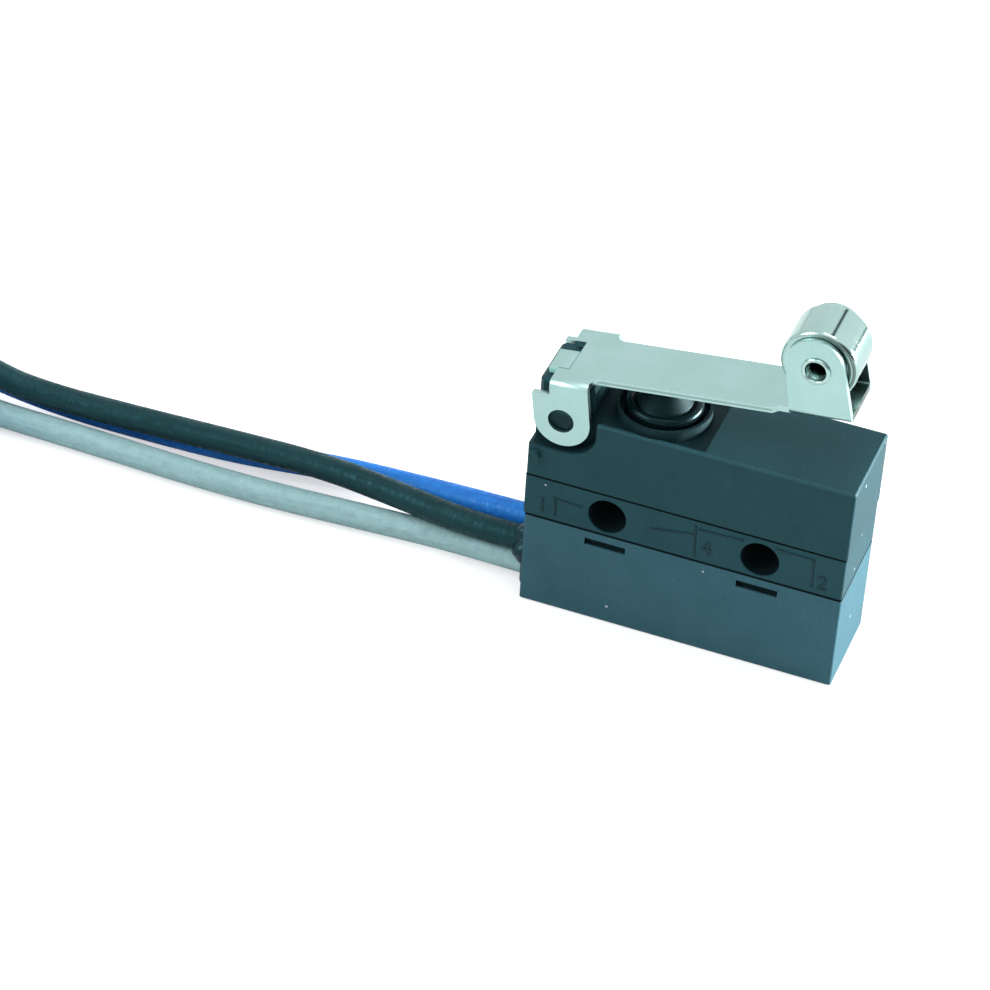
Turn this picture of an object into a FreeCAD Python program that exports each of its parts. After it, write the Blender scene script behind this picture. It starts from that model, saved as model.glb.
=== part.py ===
"""Sealed subminiature snap-action switch with a hinged roller lever and three side leads.

Millimetres. +X runs along the body towards the roller, +Y from the front face to the back
face, +Z up. The origin is the middle of the body's flat underside.
"""

import FreeCAD, Part

import math
import os

import Sketcher

VEC = FreeCAD.Vector

doc = FreeCAD.newDocument("lever_micro_switch")
sheet = doc.addObject("Spreadsheet::Sheet", "Sizes")


class Size:
    """A number together with the spreadsheet expression that gives it."""

    def __init__(self, number, text):
        self.number = float(number)
        self.text = text

    def __add__(self, other):
        other = as_size(other)
        return Size(self.number + other.number, "(%s + %s)" % (self.text, other.text))

    def __sub__(self, other):
        other = as_size(other)
        return Size(self.number - other.number, "(%s - %s)" % (self.text, other.text))

    def __mul__(self, other):
        other = as_size(other)
        return Size(self.number * other.number, "%s * %s" % (self.text, other.text))

    def __truediv__(self, other):
        other = as_size(other)
        return Size(self.number / other.number, "%s / %s" % (self.text, other.text))

    def __neg__(self):
        return Size(-self.number, "(0 - %s)" % self.text)

    __radd__ = __add__
    __rmul__ = __mul__


def as_size(value):
    if isinstance(value, Size):
        return value
    return Size(value, "(%.6f)" % value)


def cosine(angle):
    return Size(math.cos(math.radians(angle.number)), "cos(%s)" % angle.text)


def sine(angle):
    return Size(math.sin(math.radians(angle.number)), "sin(%s)" % angle.text)


rows = []


def size(name, number):
    """Writes one driving dimension into the sheet and returns it."""
    rows.append(name)
    row = len(rows)
    sheet.set("A%d" % row, name)
    sheet.set("B%d" % row, "%g" % number)
    sheet.setAlias("B%d" % row, name)
    return Size(number, "Sizes.%s" % name)


# Body: three moulded layers one above the other
body_length = size("body_length", 19.8)
body_width = size("body_width", 6.4)
housing_height = size("housing_height", 6.6)
base_height = size("base_height", 3.0)
cap_height = size("cap_height", 4.9)
corner_radius = size("corner_radius", 0.15)
edge_chamfer = size("edge_chamfer", 0.1)
parting_chamfer = size("parting_chamfer", 0.08)
housing_wall = size("housing_wall", 0.6)
housing_floor = size("housing_floor", 0.4)
fit_gap = size("fit_gap", 0.03)
running_gap = size("running_gap", 0.05)

# Mounting holes through the middle layer
hole_spacing = size("hole_spacing", 9.5)
hole_diameter = size("hole_diameter", 2.4)
hole_height = size("hole_height", 8.0)

# Latch windows in the housing and the hooks behind them
latch_length = size("latch_length", 2.57)
latch_height = size("latch_height", 0.5)
latch_drop = size("latch_drop", 0.58)
hook_thickness = size("hook_thickness", 0.5)
hook_nib = size("hook_nib", 0.35)

# Cap: overhang, hinge block, ear pockets, boot basin and collar
cap_overhang = size("cap_overhang", 0.05)
lead_end_lip = size("lead_end_lip", 0.1)
cap_wall = size("cap_wall", 0.7)
cap_roof = size("cap_roof", 1.1)
cap_low_room = size("cap_low_room", 1.8)
pivot_setback = size("pivot_setback", 1.796)
pivot_height = size("pivot_height", 13.966)
pivot_pin_diameter = size("pivot_pin_diameter", 1.5)
pin_recess = size("pin_recess", 0.15)
pin_bevel = size("pin_bevel", 0.35)
pocket_length = size("pocket_length", 4.1)
pocket_depth = size("pocket_depth", 1.2)
pocket_clearance = size("pocket_clearance", 0.35)
pocket_corner = size("pocket_corner", 1.75)
block_length = size("block_length", 3.5)
block_rise = size("block_rise", 2.0)
block_round = size("block_round", 0.2)
block_chamfer = size("block_chamfer", 0.25)
shoulder_diameter = size("shoulder_diameter", 2.3)
plunger_setback = size("plunger_setback", 7.13)
basin_end = size("basin_end", 10.65)
basin_depth = size("basin_depth", 0.35)
lip_thickness = size("lip_thickness", 0.3)
collar_diameter = size("collar_diameter", 5.7)
collar_wall = size("collar_wall", 0.2)
collar_rise = size("collar_rise", 0.4)
collar_recess = size("collar_recess", 0.3)
moat_width = size("moat_width", 0.22)
collar_bore = size("collar_bore", 4.7)
flange_diameter = size("flange_diameter", 5.8)
flange_thickness = size("flange_thickness", 0.5)
pip_diameter = size("pip_diameter", 0.65)
pip_height = size("pip_height", 0.35)
pip_setback = size("pip_setback", 0.45)
pip_rise = size("pip_rise", 1.65)
gasket_width = size("gasket_width", 0.3)
gasket_depth = size("gasket_depth", 0.25)
gasket_inset = size("gasket_inset", 0.2)

# Lever, one folded sheet
sheet_thickness = size("sheet_thickness", 0.4)
bend_radius = size("bend_radius", 0.1)
lever_tilt = size("lever_tilt", 7.3)
plate_rise = size("plate_rise", 2.291)
arm_width = size("arm_width", 4.13)
ear_inset = size("ear_inset", 0.15)
ear_radius = size("ear_radius", 1.74)
ear_offset = size("ear_offset", 0.05)
ear_shoulder = size("ear_shoulder", 1.75)
wing_left = size("wing_left", 0.57)
tab_reach = size("tab_reach", 1.1)
tab_front = size("tab_front", 1.58)
tab_back = size("tab_back", 0.36)
notch_back = size("notch_back", 1.4)
notch_reach = size("notch_reach", 0.17)
seam_width = size("seam_width", 0.06)
arm_reach = size("arm_reach", 17.38)
bracket_width = size("bracket_width", 3.7)
bracket_lean = size("bracket_lean", 0.08)
relief_length = size("relief_length", 0.7)
relief_depth = size("relief_depth", 0.3)

# Roller and its tubular rivet
roller_rise = size("roller_rise", 5.66)
roller_setback = size("roller_setback", 2.0)
crown_rise = size("crown_rise", 0.24)
roller_diameter = size("roller_diameter", 4.6)
roller_edge = size("roller_edge", 0.3)
roller_side_gap = size("roller_side_gap", 0.05)
rivet_diameter = size("rivet_diameter", 1.4)
rivet_bore = size("rivet_bore", 0.84)
rivet_head_diameter = size("rivet_head_diameter", 1.75)
rivet_mouth = size("rivet_mouth", 1.25)
rivet_mouth_depth = size("rivet_mouth_depth", 0.35)

# Boot and plunger
plunger_travel = size("plunger_travel", 0.7)
plunger_diameter = size("plunger_diameter", 1.4)
foot_diameter = size("foot_diameter", 3.2)
foot_thickness = size("foot_thickness", 0.43)
guide_reach = size("guide_reach", 3.4)
boot_wall = size("boot_wall", 0.35)
boot_tip_diameter = size("boot_tip_diameter", 2.1)
boot_shoulder_rise = size("boot_shoulder_rise", 0.8)
boot_top_gap = size("boot_top_gap", 0.08)

# Snap mechanism and terminals
terminal_thickness = size("terminal_thickness", 0.4)
shelf_thickness = size("shelf_thickness", 0.35)
tail_width = size("tail_width", 1.8)
common_setback = size("common_setback", 3.2)
closed_setback = size("closed_setback", 1.9)
blade_thickness = size("blade_thickness", 0.15)
blade_width = size("blade_width", 3.8)
blade_arm_width = size("blade_arm_width", 0.9)
blade_overhang = size("blade_overhang", 0.6)
contact_setback = size("contact_setback", 3.2)
contact_diameter = size("contact_diameter", 1.6)
contact_height = size("contact_height", 0.35)
contact_shank = size("contact_shank", 0.9)
contact_gap = size("contact_gap", 0.5)
anchor_height = size("anchor_height", 0.8)
spring_thickness = size("spring_thickness", 0.15)
coil_diameter = size("coil_diameter", 1.5)
coil_wire = size("coil_wire", 0.22)
coil_turns = size("coil_turns", 5)

# Leads, solder joints and potting
lead_diameter = size("lead_diameter", 1.65)
conductor_diameter = size("conductor_diameter", 0.7)
solder_diameter = size("solder_diameter", 1.5)
resin_height = size("resin_height", 5.2)
resin_gap = size("resin_gap", 0.02)
window_half_width = size("window_half_width", 2.4)
window_top = size("window_top", 4.3)
bead_length = size("bead_length", 0.4)
bead_round = size("bead_round", 0.3)

# Hanks of the three leads, stored in line with the body
fold_radius = size("fold_radius", 4.95)
hank_run = size("hank_run", 25.0)
hank_near_end = size("hank_near_end", -56.9)
hank_entry = size("hank_entry", 0.4)
layer_pitch = size("layer_pitch", 1.7)
tie_thickness = size("tie_thickness", 0.6)
tie_width = size("tie_width", 4.0)
tinned_length = size("tinned_length", 6.0)

doc.recompute()

# Levels and places that several pieces share
half_length = body_length / 2
half_width = body_width / 2
base_bottom = housing_height
base_top = housing_height + base_height
cap_top = base_top + cap_height
pivot_x = pivot_setback - half_length
plunger_x = plunger_setback - half_length
common_x = common_setback - half_length
closed_x = half_length - closed_setback
contact_x = half_length - contact_setback
wall_inside = half_width - pocket_depth
ear_span = body_width - ear_inset * 2
arm_half_width = arm_width / 2
bend_outer = bend_radius + sheet_thickness
wing_half_width = ear_span / 2 - bend_outer
roller_along = arm_reach - roller_setback
shelf_bottom = base_top + fit_gap
shelf_top = shelf_bottom + shelf_thickness
open_contact_top = shelf_top + contact_height
blade_bottom = open_contact_top + contact_gap + contact_height
blade_top = blade_bottom + blade_thickness
closed_contact_bottom = blade_top + contact_height + fit_gap
closed_arm_bottom = closed_contact_bottom + contact_height
cavity_top = cap_top - cap_roof
blade_sweep = contact_gap - fit_gap
blade_drop_at_plunger = blade_sweep * (plunger_x - common_x) / (contact_x - common_x)
foot_bottom = blade_top - blade_drop_at_plunger + fit_gap + plunger_travel
foot_top = foot_bottom + foot_thickness
guide_bottom = foot_top + running_gap
guide_top = cavity_top
underside_at_plunger = pivot_height + (
    plate_rise + (plunger_x - pivot_x) * sine(lever_tilt)) / cosine(lever_tilt)
boot_top = underside_at_plunger - boot_top_gap
outer_turn = fold_radius + lead_diameter * 2
hank_y = hank_entry - outer_turn
hank_far_end = hank_near_end - hank_run


def bind(item, prop, value):
    """Binds one property of an object to the sheet."""
    item.setExpression(prop, as_size(value).text)


def add_body(name):
    body = doc.addObject("PartDesign::Body", name)
    body.Label = name
    return body


def origin_plane(body, role):
    return [f for f in body.Origin.OriginFeatures if f.Role == role][0]


def add_sketch(body, role, offset):
    sketch = body.newObject("Sketcher::SketchObject", "sketch")
    sketch.AttachmentSupport = [(origin_plane(body, role), "")]
    sketch.MapMode = "FlatFace"
    bind(sketch, "AttachmentOffset.Base.z", offset)
    return sketch


def fix_point(sketch, index, position, x, y):
    """Dimensions one point of a sketch from the origin."""
    for kind, value in (("DistanceX", x), ("DistanceY", y)):
        value = as_size(value)
        number = sketch.addConstraint(Sketcher.Constraint(kind, -1, 1, index, position, value.number))
        bind(sketch, "Constraints[%d]" % number, value)


def draw_circle(sketch, x, y, diameter):
    x, y, radius = as_size(x), as_size(y), as_size(diameter) / 2
    centre = VEC(x.number, y.number, 0)
    index = sketch.addGeometry(Part.Circle(centre, VEC(0, 0, 1), radius.number), False)
    fix_point(sketch, index, 3, x, y)
    number = sketch.addConstraint(Sketcher.Constraint("Radius", index, radius.number))
    bind(sketch, "Constraints[%d]" % number, radius)


def arc_between(start, end, centre, turn):
    """The arc from start to end about centre, counter-clockwise where turn is 1."""
    radius = start.distanceToPoint(centre)
    angles = [math.atan2(p.y - centre.y, p.x - centre.x) for p in (start, end)]
    if turn < 0:
        angles.reverse()
    if angles[1] < angles[0]:
        angles[1] += 2 * math.pi
    return Part.ArcOfCircle(Part.Circle(centre, VEC(0, 0, 1), radius), angles[0], angles[1])


def draw_outline(sketch, corners):
    """Draws a closed outline. A corner is (x, y), or (x, y, (cx, cy, turn)) where an arc leaves it."""
    ends = []
    points = [(as_size(c[0]), as_size(c[1])) for c in corners]
    for number, corner in enumerate(corners):
        start = VEC(points[number][0].number, points[number][1].number, 0)
        following = points[(number + 1) % len(points)]
        end = VEC(following[0].number, following[1].number, 0)
        if len(corner) == 2:
            index = sketch.addGeometry(Part.LineSegment(start, end), False)
            ends.append((index, 1, 2))
            continue
        cx, cy, turn = as_size(corner[2][0]), as_size(corner[2][1]), corner[2][2]
        index = sketch.addGeometry(arc_between(start, end, VEC(cx.number, cy.number, 0), turn), False)
        ends.append((index, 1, 2) if turn > 0 else (index, 2, 1))
        chord = end - start
        kind, value = ("DistanceX", cx) if abs(chord.y) >= abs(chord.x) else ("DistanceY", cy)
        constraint = Sketcher.Constraint(kind, -1, 1, index, 3, value.number)
        bind(sketch, "Constraints[%d]" % sketch.addConstraint(constraint), value)
    for number, (index, first, last) in enumerate(ends):
        fix_point(sketch, index, first, *points[number])
        after = ends[(number + 1) % len(ends)]
        sketch.addConstraint(Sketcher.Constraint("Coincident", index, last, after[0], after[1]))


def rectangle(x0, x1, y0, y1):
    return [(x0, y0), (x1, y0), (x1, y1), (x0, y1)]


def rounded(x0, x1, y0, y1, radius):
    """A rectangle with four round corners, drawn counter-clockwise."""
    x0, x1, y0, y1 = as_size(x0), as_size(x1), as_size(y0), as_size(y1)
    return [
        (x0 + radius, y0), (x1 - radius, y0, (x1 - radius, y0 + radius, 1)),
        (x1, y0 + radius), (x1, y1 - radius, (x1 - radius, y1 - radius, 1)),
        (x1 - radius, y1), (x0 + radius, y1, (x0 + radius, y1 - radius, 1)),
        (x0, y1 - radius), (x0, y0 + radius, (x0 + radius, y0 + radius, 1)),
    ]


def normal_span(role, low, high):
    """Where a layer from low to high along the plane's axis starts and ends along its normal."""
    low, high = as_size(low), as_size(high)
    return (-high, -low) if role == "XZ_Plane" else (low, high)


def draw(sketch, shape):
    if shape[0] == "circle":
        draw_circle(sketch, *shape[1:])
    else:
        draw_outline(sketch, shape)


def pad(body, role, low, high, *shapes):
    """Adds material between two levels along the plane's axis."""
    start, end = normal_span(role, low, high)
    sketch = add_sketch(body, role, start)
    for shape in shapes:
        draw(sketch, shape)
    feature = body.newObject("PartDesign::Pad", "pad")
    feature.Profile = sketch
    bind(feature, "Length", end - start)
    doc.recompute()
    return feature


def cut(body, role, low, high, *shapes):
    """Removes material between two levels along the plane's axis."""
    before = body.Shape.Volume
    start, end = normal_span(role, low, high)
    sketch = add_sketch(body, role, end)
    for shape in shapes:
        draw(sketch, shape)
    feature = body.newObject("PartDesign::Pocket", "pocket")
    feature.Profile = sketch
    bind(feature, "Length", end - start)
    doc.recompute()
    if body.Shape.Volume > before - 1e-6:
        raise RuntimeError("a cut in %s takes nothing away" % body.Label)
    return feature


def turn(body, role, axis, corners):
    """Adds a turned form: corners give the half section, axis is H_Axis or V_Axis."""
    sketch = add_sketch(body, role, 0)
    draw_outline(sketch, corners)
    feature = body.newObject("PartDesign::Revolution", "turned")
    feature.Profile = sketch
    feature.ReferenceAxis = (sketch, [axis])
    feature.Angle = 360
    doc.recompute()
    return feature


def mirror(body, role, features):
    """Repeats features on the other side of an origin plane."""
    feature = body.newObject("PartDesign::Mirrored", "mirrored")
    feature.Originals = features
    feature.MirrorPlane = (origin_plane(body, role), [""])
    body.Tip = feature
    doc.recompute()
    return feature


def chamfer(body, amount, test):
    """Chamfers the edges of the body whose middle point passes the test."""
    edges = body.Shape.Edges
    names = ["Edge%d" % (i + 1) for i, e in enumerate(edges) if test(e)]
    base = body.Tip
    feature = body.newObject("PartDesign::Chamfer", "chamfer")
    feature.Base = (base, names)
    bind(feature, "Size", amount)
    doc.recompute()
    return feature


def place(body, x, y, z):
    for letter, value in zip("xyz", (x, y, z)):
        bind(body, "Placement.Base.%s" % letter, value)
    doc.recompute()


def make_terminal_housing():
    """The bottom shell, with the lead window in its left wall and four latch windows."""
    body = add_body("terminal_housing")
    pad(body, "XY_Plane", 0, housing_height,
        rounded(-half_length, half_length, -half_width, half_width, corner_radius))
    chamfer(body, parting_chamfer, lambda e: e.BoundBox.ZLength < 1e-6)
    inner_x = half_length - housing_wall
    inner_y = half_width - housing_wall
    cut(body, "XY_Plane", housing_floor, housing_height, rectangle(-inner_x, inner_x, -inner_y, inner_y))
    cut(body, "YZ_Plane", -half_length, -inner_x,
        rectangle(-window_half_width, window_half_width, housing_floor, window_top))
    latch_top = housing_height - latch_drop
    for side in (-1, 1):
        middle = hole_spacing / 2 * side
        window = rectangle(middle - latch_length / 2, middle + latch_length / 2,
                           latch_top - latch_height, latch_top)
        cut(body, "XZ_Plane", -half_width, half_width, window)
    return body


def make_switch_base():
    """The middle layer: mounting holes, terminal slots, latch hooks and the gasket groove."""
    body = add_body("switch_base")
    pad(body, "XY_Plane", base_bottom, base_top,
        rounded(-half_length - lead_end_lip, half_length, -half_width, half_width, corner_radius))
    chamfer(body, parting_chamfer, lambda e: e.BoundBox.ZLength < 1e-6)
    for side in (-1, 1):
        cut(body, "XZ_Plane", -half_width, half_width,
            ("circle", hole_spacing / 2 * side, hole_height, hole_diameter))
    for x, y0, y1 in ((common_x, black_y[0], black_y[1]), (Size(0, "0"), blue_y[0], blue_y[1]),
                      (closed_x, grey_y[0], grey_y[1])):
        half = terminal_thickness / 2 + fit_gap
        cut(body, "XY_Plane", base_bottom, base_top,
            rectangle(x - half, x + half, y0 - fit_gap, y1 + fit_gap))
    outer_x = half_length - gasket_inset
    outer_y = half_width - gasket_inset
    cut(body, "XY_Plane", base_top - gasket_depth, base_top,
        rectangle(-outer_x, outer_x, -outer_y, outer_y),
        rectangle(gasket_width - outer_x, outer_x - gasket_width,
                  gasket_width - outer_y, outer_y - gasket_width))
    hook_face = half_width - housing_wall - fit_gap
    latch_top = housing_height - latch_drop - fit_gap
    latch_bottom = latch_top - latch_height + fit_gap * 2
    half_hook = latch_length / 2 - fit_gap
    hooks = []
    for side in (-1, 1):
        middle = hole_spacing / 2 * side
        hooks.append(pad(body, "XY_Plane", latch_bottom, base_bottom + fit_gap,
                         rectangle(middle - half_hook, middle + half_hook,
                                   hook_face - hook_thickness, hook_face)))
        hooks.append(pad(body, "XY_Plane", latch_bottom, latch_top,
                         rectangle(middle - half_hook, middle + half_hook,
                                   hook_face, hook_face + hook_nib)))
    mirror(body, "XZ_Plane", hooks)
    return body


def make_cap_gasket():
    """The rubber frame that seals the cap on the base."""
    body = add_body("cap_gasket")
    outer_x = half_length - gasket_inset - fit_gap
    outer_y = half_width - gasket_inset - fit_gap
    ring = gasket_width - fit_gap * 2
    pad(body, "XY_Plane", base_top - gasket_depth + fit_gap, base_top,
        rectangle(-outer_x, outer_x, -outer_y, outer_y),
        rectangle(ring - outer_x, outer_x - ring, ring - outer_y, outer_y - ring))
    return body


def make_upper_cap():
    """The cap: hinge block and pins, ear pockets, boot basin with its collar, and the cavity."""
    body = add_body("upper_cap")
    reach_x = half_length + cap_overhang
    reach_y = half_width + cap_overhang
    pad(body, "XY_Plane", base_top, cap_top, rounded(-reach_x, reach_x, -reach_y, reach_y, corner_radius))
    chamfer(body, edge_chamfer, lambda e: e.BoundBox.ZLength < 1e-6)
    block_left = Size(0, "0") - half_length
    block_right = block_length - half_length
    block_top = pivot_height + block_rise
    corner = block_chamfer
    pad(body, "XY_Plane", cap_top - edge_chamfer * 2, block_top, [
        (block_left + corner, -wall_inside), (block_right, -wall_inside), (block_right, wall_inside),
        (block_left + corner, wall_inside), (block_left, wall_inside - corner),
        (block_left, corner - wall_inside),
    ])
    chamfer(body, block_round, lambda e: e.BoundBox.ZLength < 1e-6
            and abs(e.BoundBox.ZMin - block_top.number) < 1e-6)
    pocket_right = pocket_length - half_length
    pocket_floor = pivot_height - ear_radius - pocket_clearance
    pocket_shape = [
        (-reach_x - 1, pocket_floor),
        (pocket_right - pocket_corner, pocket_floor, (pocket_right - pocket_corner,
                                                      pocket_floor + pocket_corner, 1)),
        (pocket_right, pocket_floor + pocket_corner), (pocket_right, cap_top + 1),
        (-reach_x - 1, cap_top + 1),
    ]
    cut(body, "XZ_Plane", wall_inside, reach_y + 1, pocket_shape)
    cut(body, "XZ_Plane", -reach_y - 1, -wall_inside, pocket_shape)
    basin_floor = cap_top - basin_depth
    cut(body, "XY_Plane", basin_floor, cap_top,
        rectangle(block_right, basin_end - half_length, lip_thickness - reach_y, reach_y - lip_thickness))
    ear_inside = ear_span / 2 - sheet_thickness
    pin_end = ear_span / 2 - pin_recess
    pin_low = pivot_height - pivot_pin_diameter
    for side in (-1, 1):
        shoulder = sorted(((wall_inside - 0.2) * side, (ear_inside - running_gap) * side),
                          key=lambda v: v.number)
        pin = sorted(((wall_inside - 0.2) * side, pin_end * side), key=lambda v: v.number)
        pad(body, "XZ_Plane", shoulder[0], shoulder[1], ("circle", pivot_x, pivot_height, shoulder_diameter))
        pad(body, "XZ_Plane", pin[0], pin[1], ("circle", pivot_x, pivot_height, pivot_pin_diameter))
        cut(body, "YZ_Plane", pivot_x - pivot_pin_diameter, pivot_x + pivot_pin_diameter,
            [(pin_end * side, pivot_height), ((pin_end - pin_bevel) * side, pin_low), (pin_end * side, pin_low)])
    pad(body, "XZ_Plane", -reach_y - pip_height, -half_width,
        ("circle", pip_setback - half_length, base_top + pip_rise, pip_diameter))
    collar_top = cap_top + collar_rise
    collar_inside = collar_diameter - collar_wall * 2
    cut(body, "XY_Plane", basin_floor, cap_top, ("circle", plunger_x, 0, collar_diameter + moat_width * 2))
    pad(body, "XY_Plane", basin_floor - 0.1, collar_top, ("circle", plunger_x, 0, collar_diameter))
    cut(body, "XY_Plane", cap_top - collar_recess, collar_top + 0.1, ("circle", plunger_x, 0, collar_inside))
    inner_x = half_length - cap_wall
    inner_y = half_width - cap_wall
    low_left = common_x - 0.5
    cut(body, "XY_Plane", base_top, base_top + cap_low_room, rectangle(low_left, inner_x, -inner_y, inner_y))
    cut(body, "XY_Plane", base_top, cavity_top,
        rectangle(pocket_right + housing_wall, inner_x, -inner_y, inner_y))
    cut(body, "XY_Plane", cavity_top - 0.1, cavity_top + flange_thickness,
        ("circle", plunger_x, 0, flange_diameter + fit_gap * 2))
    cut(body, "XY_Plane", cavity_top, collar_top + 0.1, ("circle", plunger_x, 0, collar_bore))
    return body


def make_sealing_boot():
    """The rubber boot: a clamped flange, a rolled shoulder and a cone that ends in a round tip."""
    body = add_body("sealing_boot")
    low = cavity_top + fit_gap
    high = cavity_top + flange_thickness - fit_gap
    bore = collar_bore / 2 - fit_gap
    shoulder = cap_top + boot_shoulder_rise
    tip = boot_tip_diameter / 2
    roll = boot_wall
    turn(body, "XZ_Plane", "V_Axis", [
        (bore - boot_wall, low), (flange_diameter / 2, low), (flange_diameter / 2, high), (bore, high),
        (bore, shoulder - roll, (bore - roll, shoulder - roll, 1)),
        (bore - roll, shoulder), (tip + boot_wall * 2, shoulder - boot_wall / 2),
        (tip, boot_top - boot_wall * 2),
        (tip - boot_wall / 2, boot_top - boot_wall / 2), (tip / 2, boot_top),
        (0, boot_top), (0, boot_top - boot_wall),
        (plunger_diameter / 2 + running_gap, boot_top - boot_wall * 1.4),
        (plunger_diameter / 2 + running_gap, boot_top - boot_wall * 2.6),
        (tip + boot_wall, shoulder - boot_wall * 1.5), (bore - boot_wall, shoulder - boot_wall * 1.3),
    ])
    place(body, plunger_x, 0, 0)
    return body


def make_plunger_guide():
    """The plate that clamps the boot's flange and guides the plunger."""
    body = add_body("plunger_guide")
    left = pocket_length - half_length + housing_wall + fit_gap
    side = half_width - cap_wall - fit_gap
    pad(body, "XY_Plane", guide_bottom, guide_top - fit_gap,
        rectangle(left, plunger_x + guide_reach, -side, side),
        ("circle", plunger_x, 0, plunger_diameter + running_gap * 2))
    return body


def make_plunger():
    """The plunger: a stem with a domed top and a foot that bears on the blade's two arms."""
    body = add_body("plunger")
    stem = plunger_diameter / 2
    top = boot_top - boot_wall - fit_gap * 2.5
    dome = stem * 0.6
    turn(body, "XZ_Plane", "V_Axis", [
        (0, foot_bottom), (foot_diameter / 2, foot_bottom), (foot_diameter / 2, foot_top),
        (stem, foot_top), (stem, top - dome, (stem - dome, top - dome, 1)), (stem - dome, top), (0, top),
    ])
    place(body, plunger_x, 0, 0)
    return body


def lever_frame(body):
    """Stands a piece drawn about the pivot at the lever's free angle."""
    body.Placement = FreeCAD.Placement(VEC(0, 0, 0), FreeCAD.Rotation(VEC(0, -1, 0), 1))
    bind(body, "Placement.Rotation.Angle", lever_tilt)
    place(body, pivot_x, 0, pivot_height)


def lever_point(along, above):
    """The row's x and z of a point given along and above the pivot on the lever."""
    x = pivot_x + along * cosine(lever_tilt) - above * sine(lever_tilt)
    z = pivot_height + along * sine(lever_tilt) + above * cosine(lever_tilt)
    return x, z


def make_actuator_lever():
    """The lever, one folded sheet: two hinge ears down, the arm, and two roller ears up."""
    body = add_body("actuator_lever")
    low = plate_rise
    high = plate_rise + sheet_thickness
    half = arm_half_width
    wing = wing_half_width
    step = wing - half
    base_half = arm_half_width - bend_outer
    bracket_left = arm_reach - bracket_width
    relief_left = bracket_left - relief_length
    corner = relief_depth
    ear_left = ear_offset - ear_radius
    ear_right = ear_offset + ear_radius
    pad(body, "XY_Plane", low, high, [
        (-wing_left, -wing), (ear_right, -wing, (ear_right + step, -wing, -1)), (ear_right + step, -half),
        (relief_left - corner, -half), (relief_left, corner - half),
        (bracket_left, corner - half), (bracket_left, -base_half), (arm_reach, -base_half),
        (arm_reach, base_half), (bracket_left, base_half), (bracket_left, half - corner),
        (relief_left, half - corner), (relief_left - corner, half),
        (ear_right + step, half, (ear_right + step, wing, -1)), (ear_right, wing), (-wing_left, wing),
        (-wing_left, notch_back), (notch_reach, notch_back), (notch_reach, tab_back),
        (-tab_reach, tab_back), (-tab_reach, -tab_front), (-wing_left, -tab_front),
    ])
    seam = notch_reach - seam_width
    cut(body, "XY_Plane", high - seam_width, high, [
        (seam, tab_back), (seam, seam_width * 2 - tab_front), (-wing_left, seam_width * 2 - tab_front),
        (-wing_left, seam_width - tab_front), (notch_reach, seam_width - tab_front), (notch_reach, tab_back),
    ])
    outside = ear_span / 2
    centre = low - bend_radius
    hinge_bend = pad(body, "YZ_Plane", -wing_left, ear_right, [
        (-wing, low, (-wing, centre, 1)), (-wing - bend_radius, centre),
        (-outside, centre, (-wing, centre, -1)), (-wing, high),
    ])
    hinge_ear = pad(body, "XZ_Plane", -outside, sheet_thickness - outside, [
        (-wing_left, centre), (-wing_left, ear_shoulder), (ear_left, ear_shoulder),
        (ear_left, 0, (ear_offset, 0, 1)), (ear_right, 0), (ear_right, centre),
    ])
    hinge_hole = cut(body, "XZ_Plane", -outside, sheet_thickness - outside,
                     ("circle", 0, 0, pivot_pin_diameter + running_gap * 2))
    rise = low + bend_outer
    roller_bend = pad(body, "YZ_Plane", bracket_left, arm_reach, [
        (-base_half, low), (-base_half, high, (-base_half, rise, -1)),
        (bend_radius * -1 - base_half, rise), (-half, rise, (-base_half, rise, 1)),
    ])
    crown = roller_along - bracket_lean
    crown_level = roller_rise + crown_rise
    roller_ear = pad(body, "XZ_Plane", -half, sheet_thickness - half, [
        (bracket_left, rise), (arm_reach, rise),
        (crown + ear_radius, crown_level, (crown, crown_level, 1)), (crown - ear_radius, crown_level),
    ])
    roller_hole = cut(body, "XZ_Plane", -half, sheet_thickness - half,
                      ("circle", roller_along, roller_rise, rivet_diameter + fit_gap * 2))
    mirror(body, "XZ_Plane", [hinge_bend, hinge_ear, hinge_hole, roller_bend, roller_ear, roller_hole])
    lever_frame(body)
    return body


def make_roller():
    """The turned roller, with rounded rims and a bore for its rivet."""
    body = add_body("roller")
    half = arm_half_width - sheet_thickness - roller_side_gap
    rim = roller_diameter / 2
    bore = rivet_diameter / 2 + running_gap
    edge = roller_edge
    turn(body, "XY_Plane", "V_Axis", [
        (bore, -half), (rim - edge, -half, (rim - edge, edge - half, 1)), (rim, edge - half),
        (rim, half - edge, (rim - edge, half - edge, 1)), (rim - edge, half), (bore, half),
    ])
    x, z = lever_point(roller_along, roller_rise)
    place(body, x, 0, z)
    return body


def make_roller_rivet():
    """The tubular rivet that carries the roller, rolled over outside both ears."""
    body = add_body("roller_rivet")
    shank = rivet_diameter / 2
    bore = rivet_bore / 2
    head = rivet_head_diameter / 2
    seat = arm_half_width + fit_gap
    mouth = rivet_mouth / 2
    lip = (head + mouth) / 2
    throat = seat - rivet_mouth_depth
    turn(body, "XY_Plane", "V_Axis", [
        (bore, -throat), (mouth, -seat, (lip, -seat, 1)), (head, -seat), (shank, -seat), (shank, seat),
        (head, seat, (lip, seat, 1)), (mouth, seat), (bore, throat),
    ])
    x, z = lever_point(roller_along, roller_rise)
    place(body, x, 0, z)
    return body


def tail_eyelet(body, x, y, z):
    cut(body, "YZ_Plane", x - terminal_thickness, x + terminal_thickness,
        ("circle", y, z, conductor_diameter + 0.3))


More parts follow.
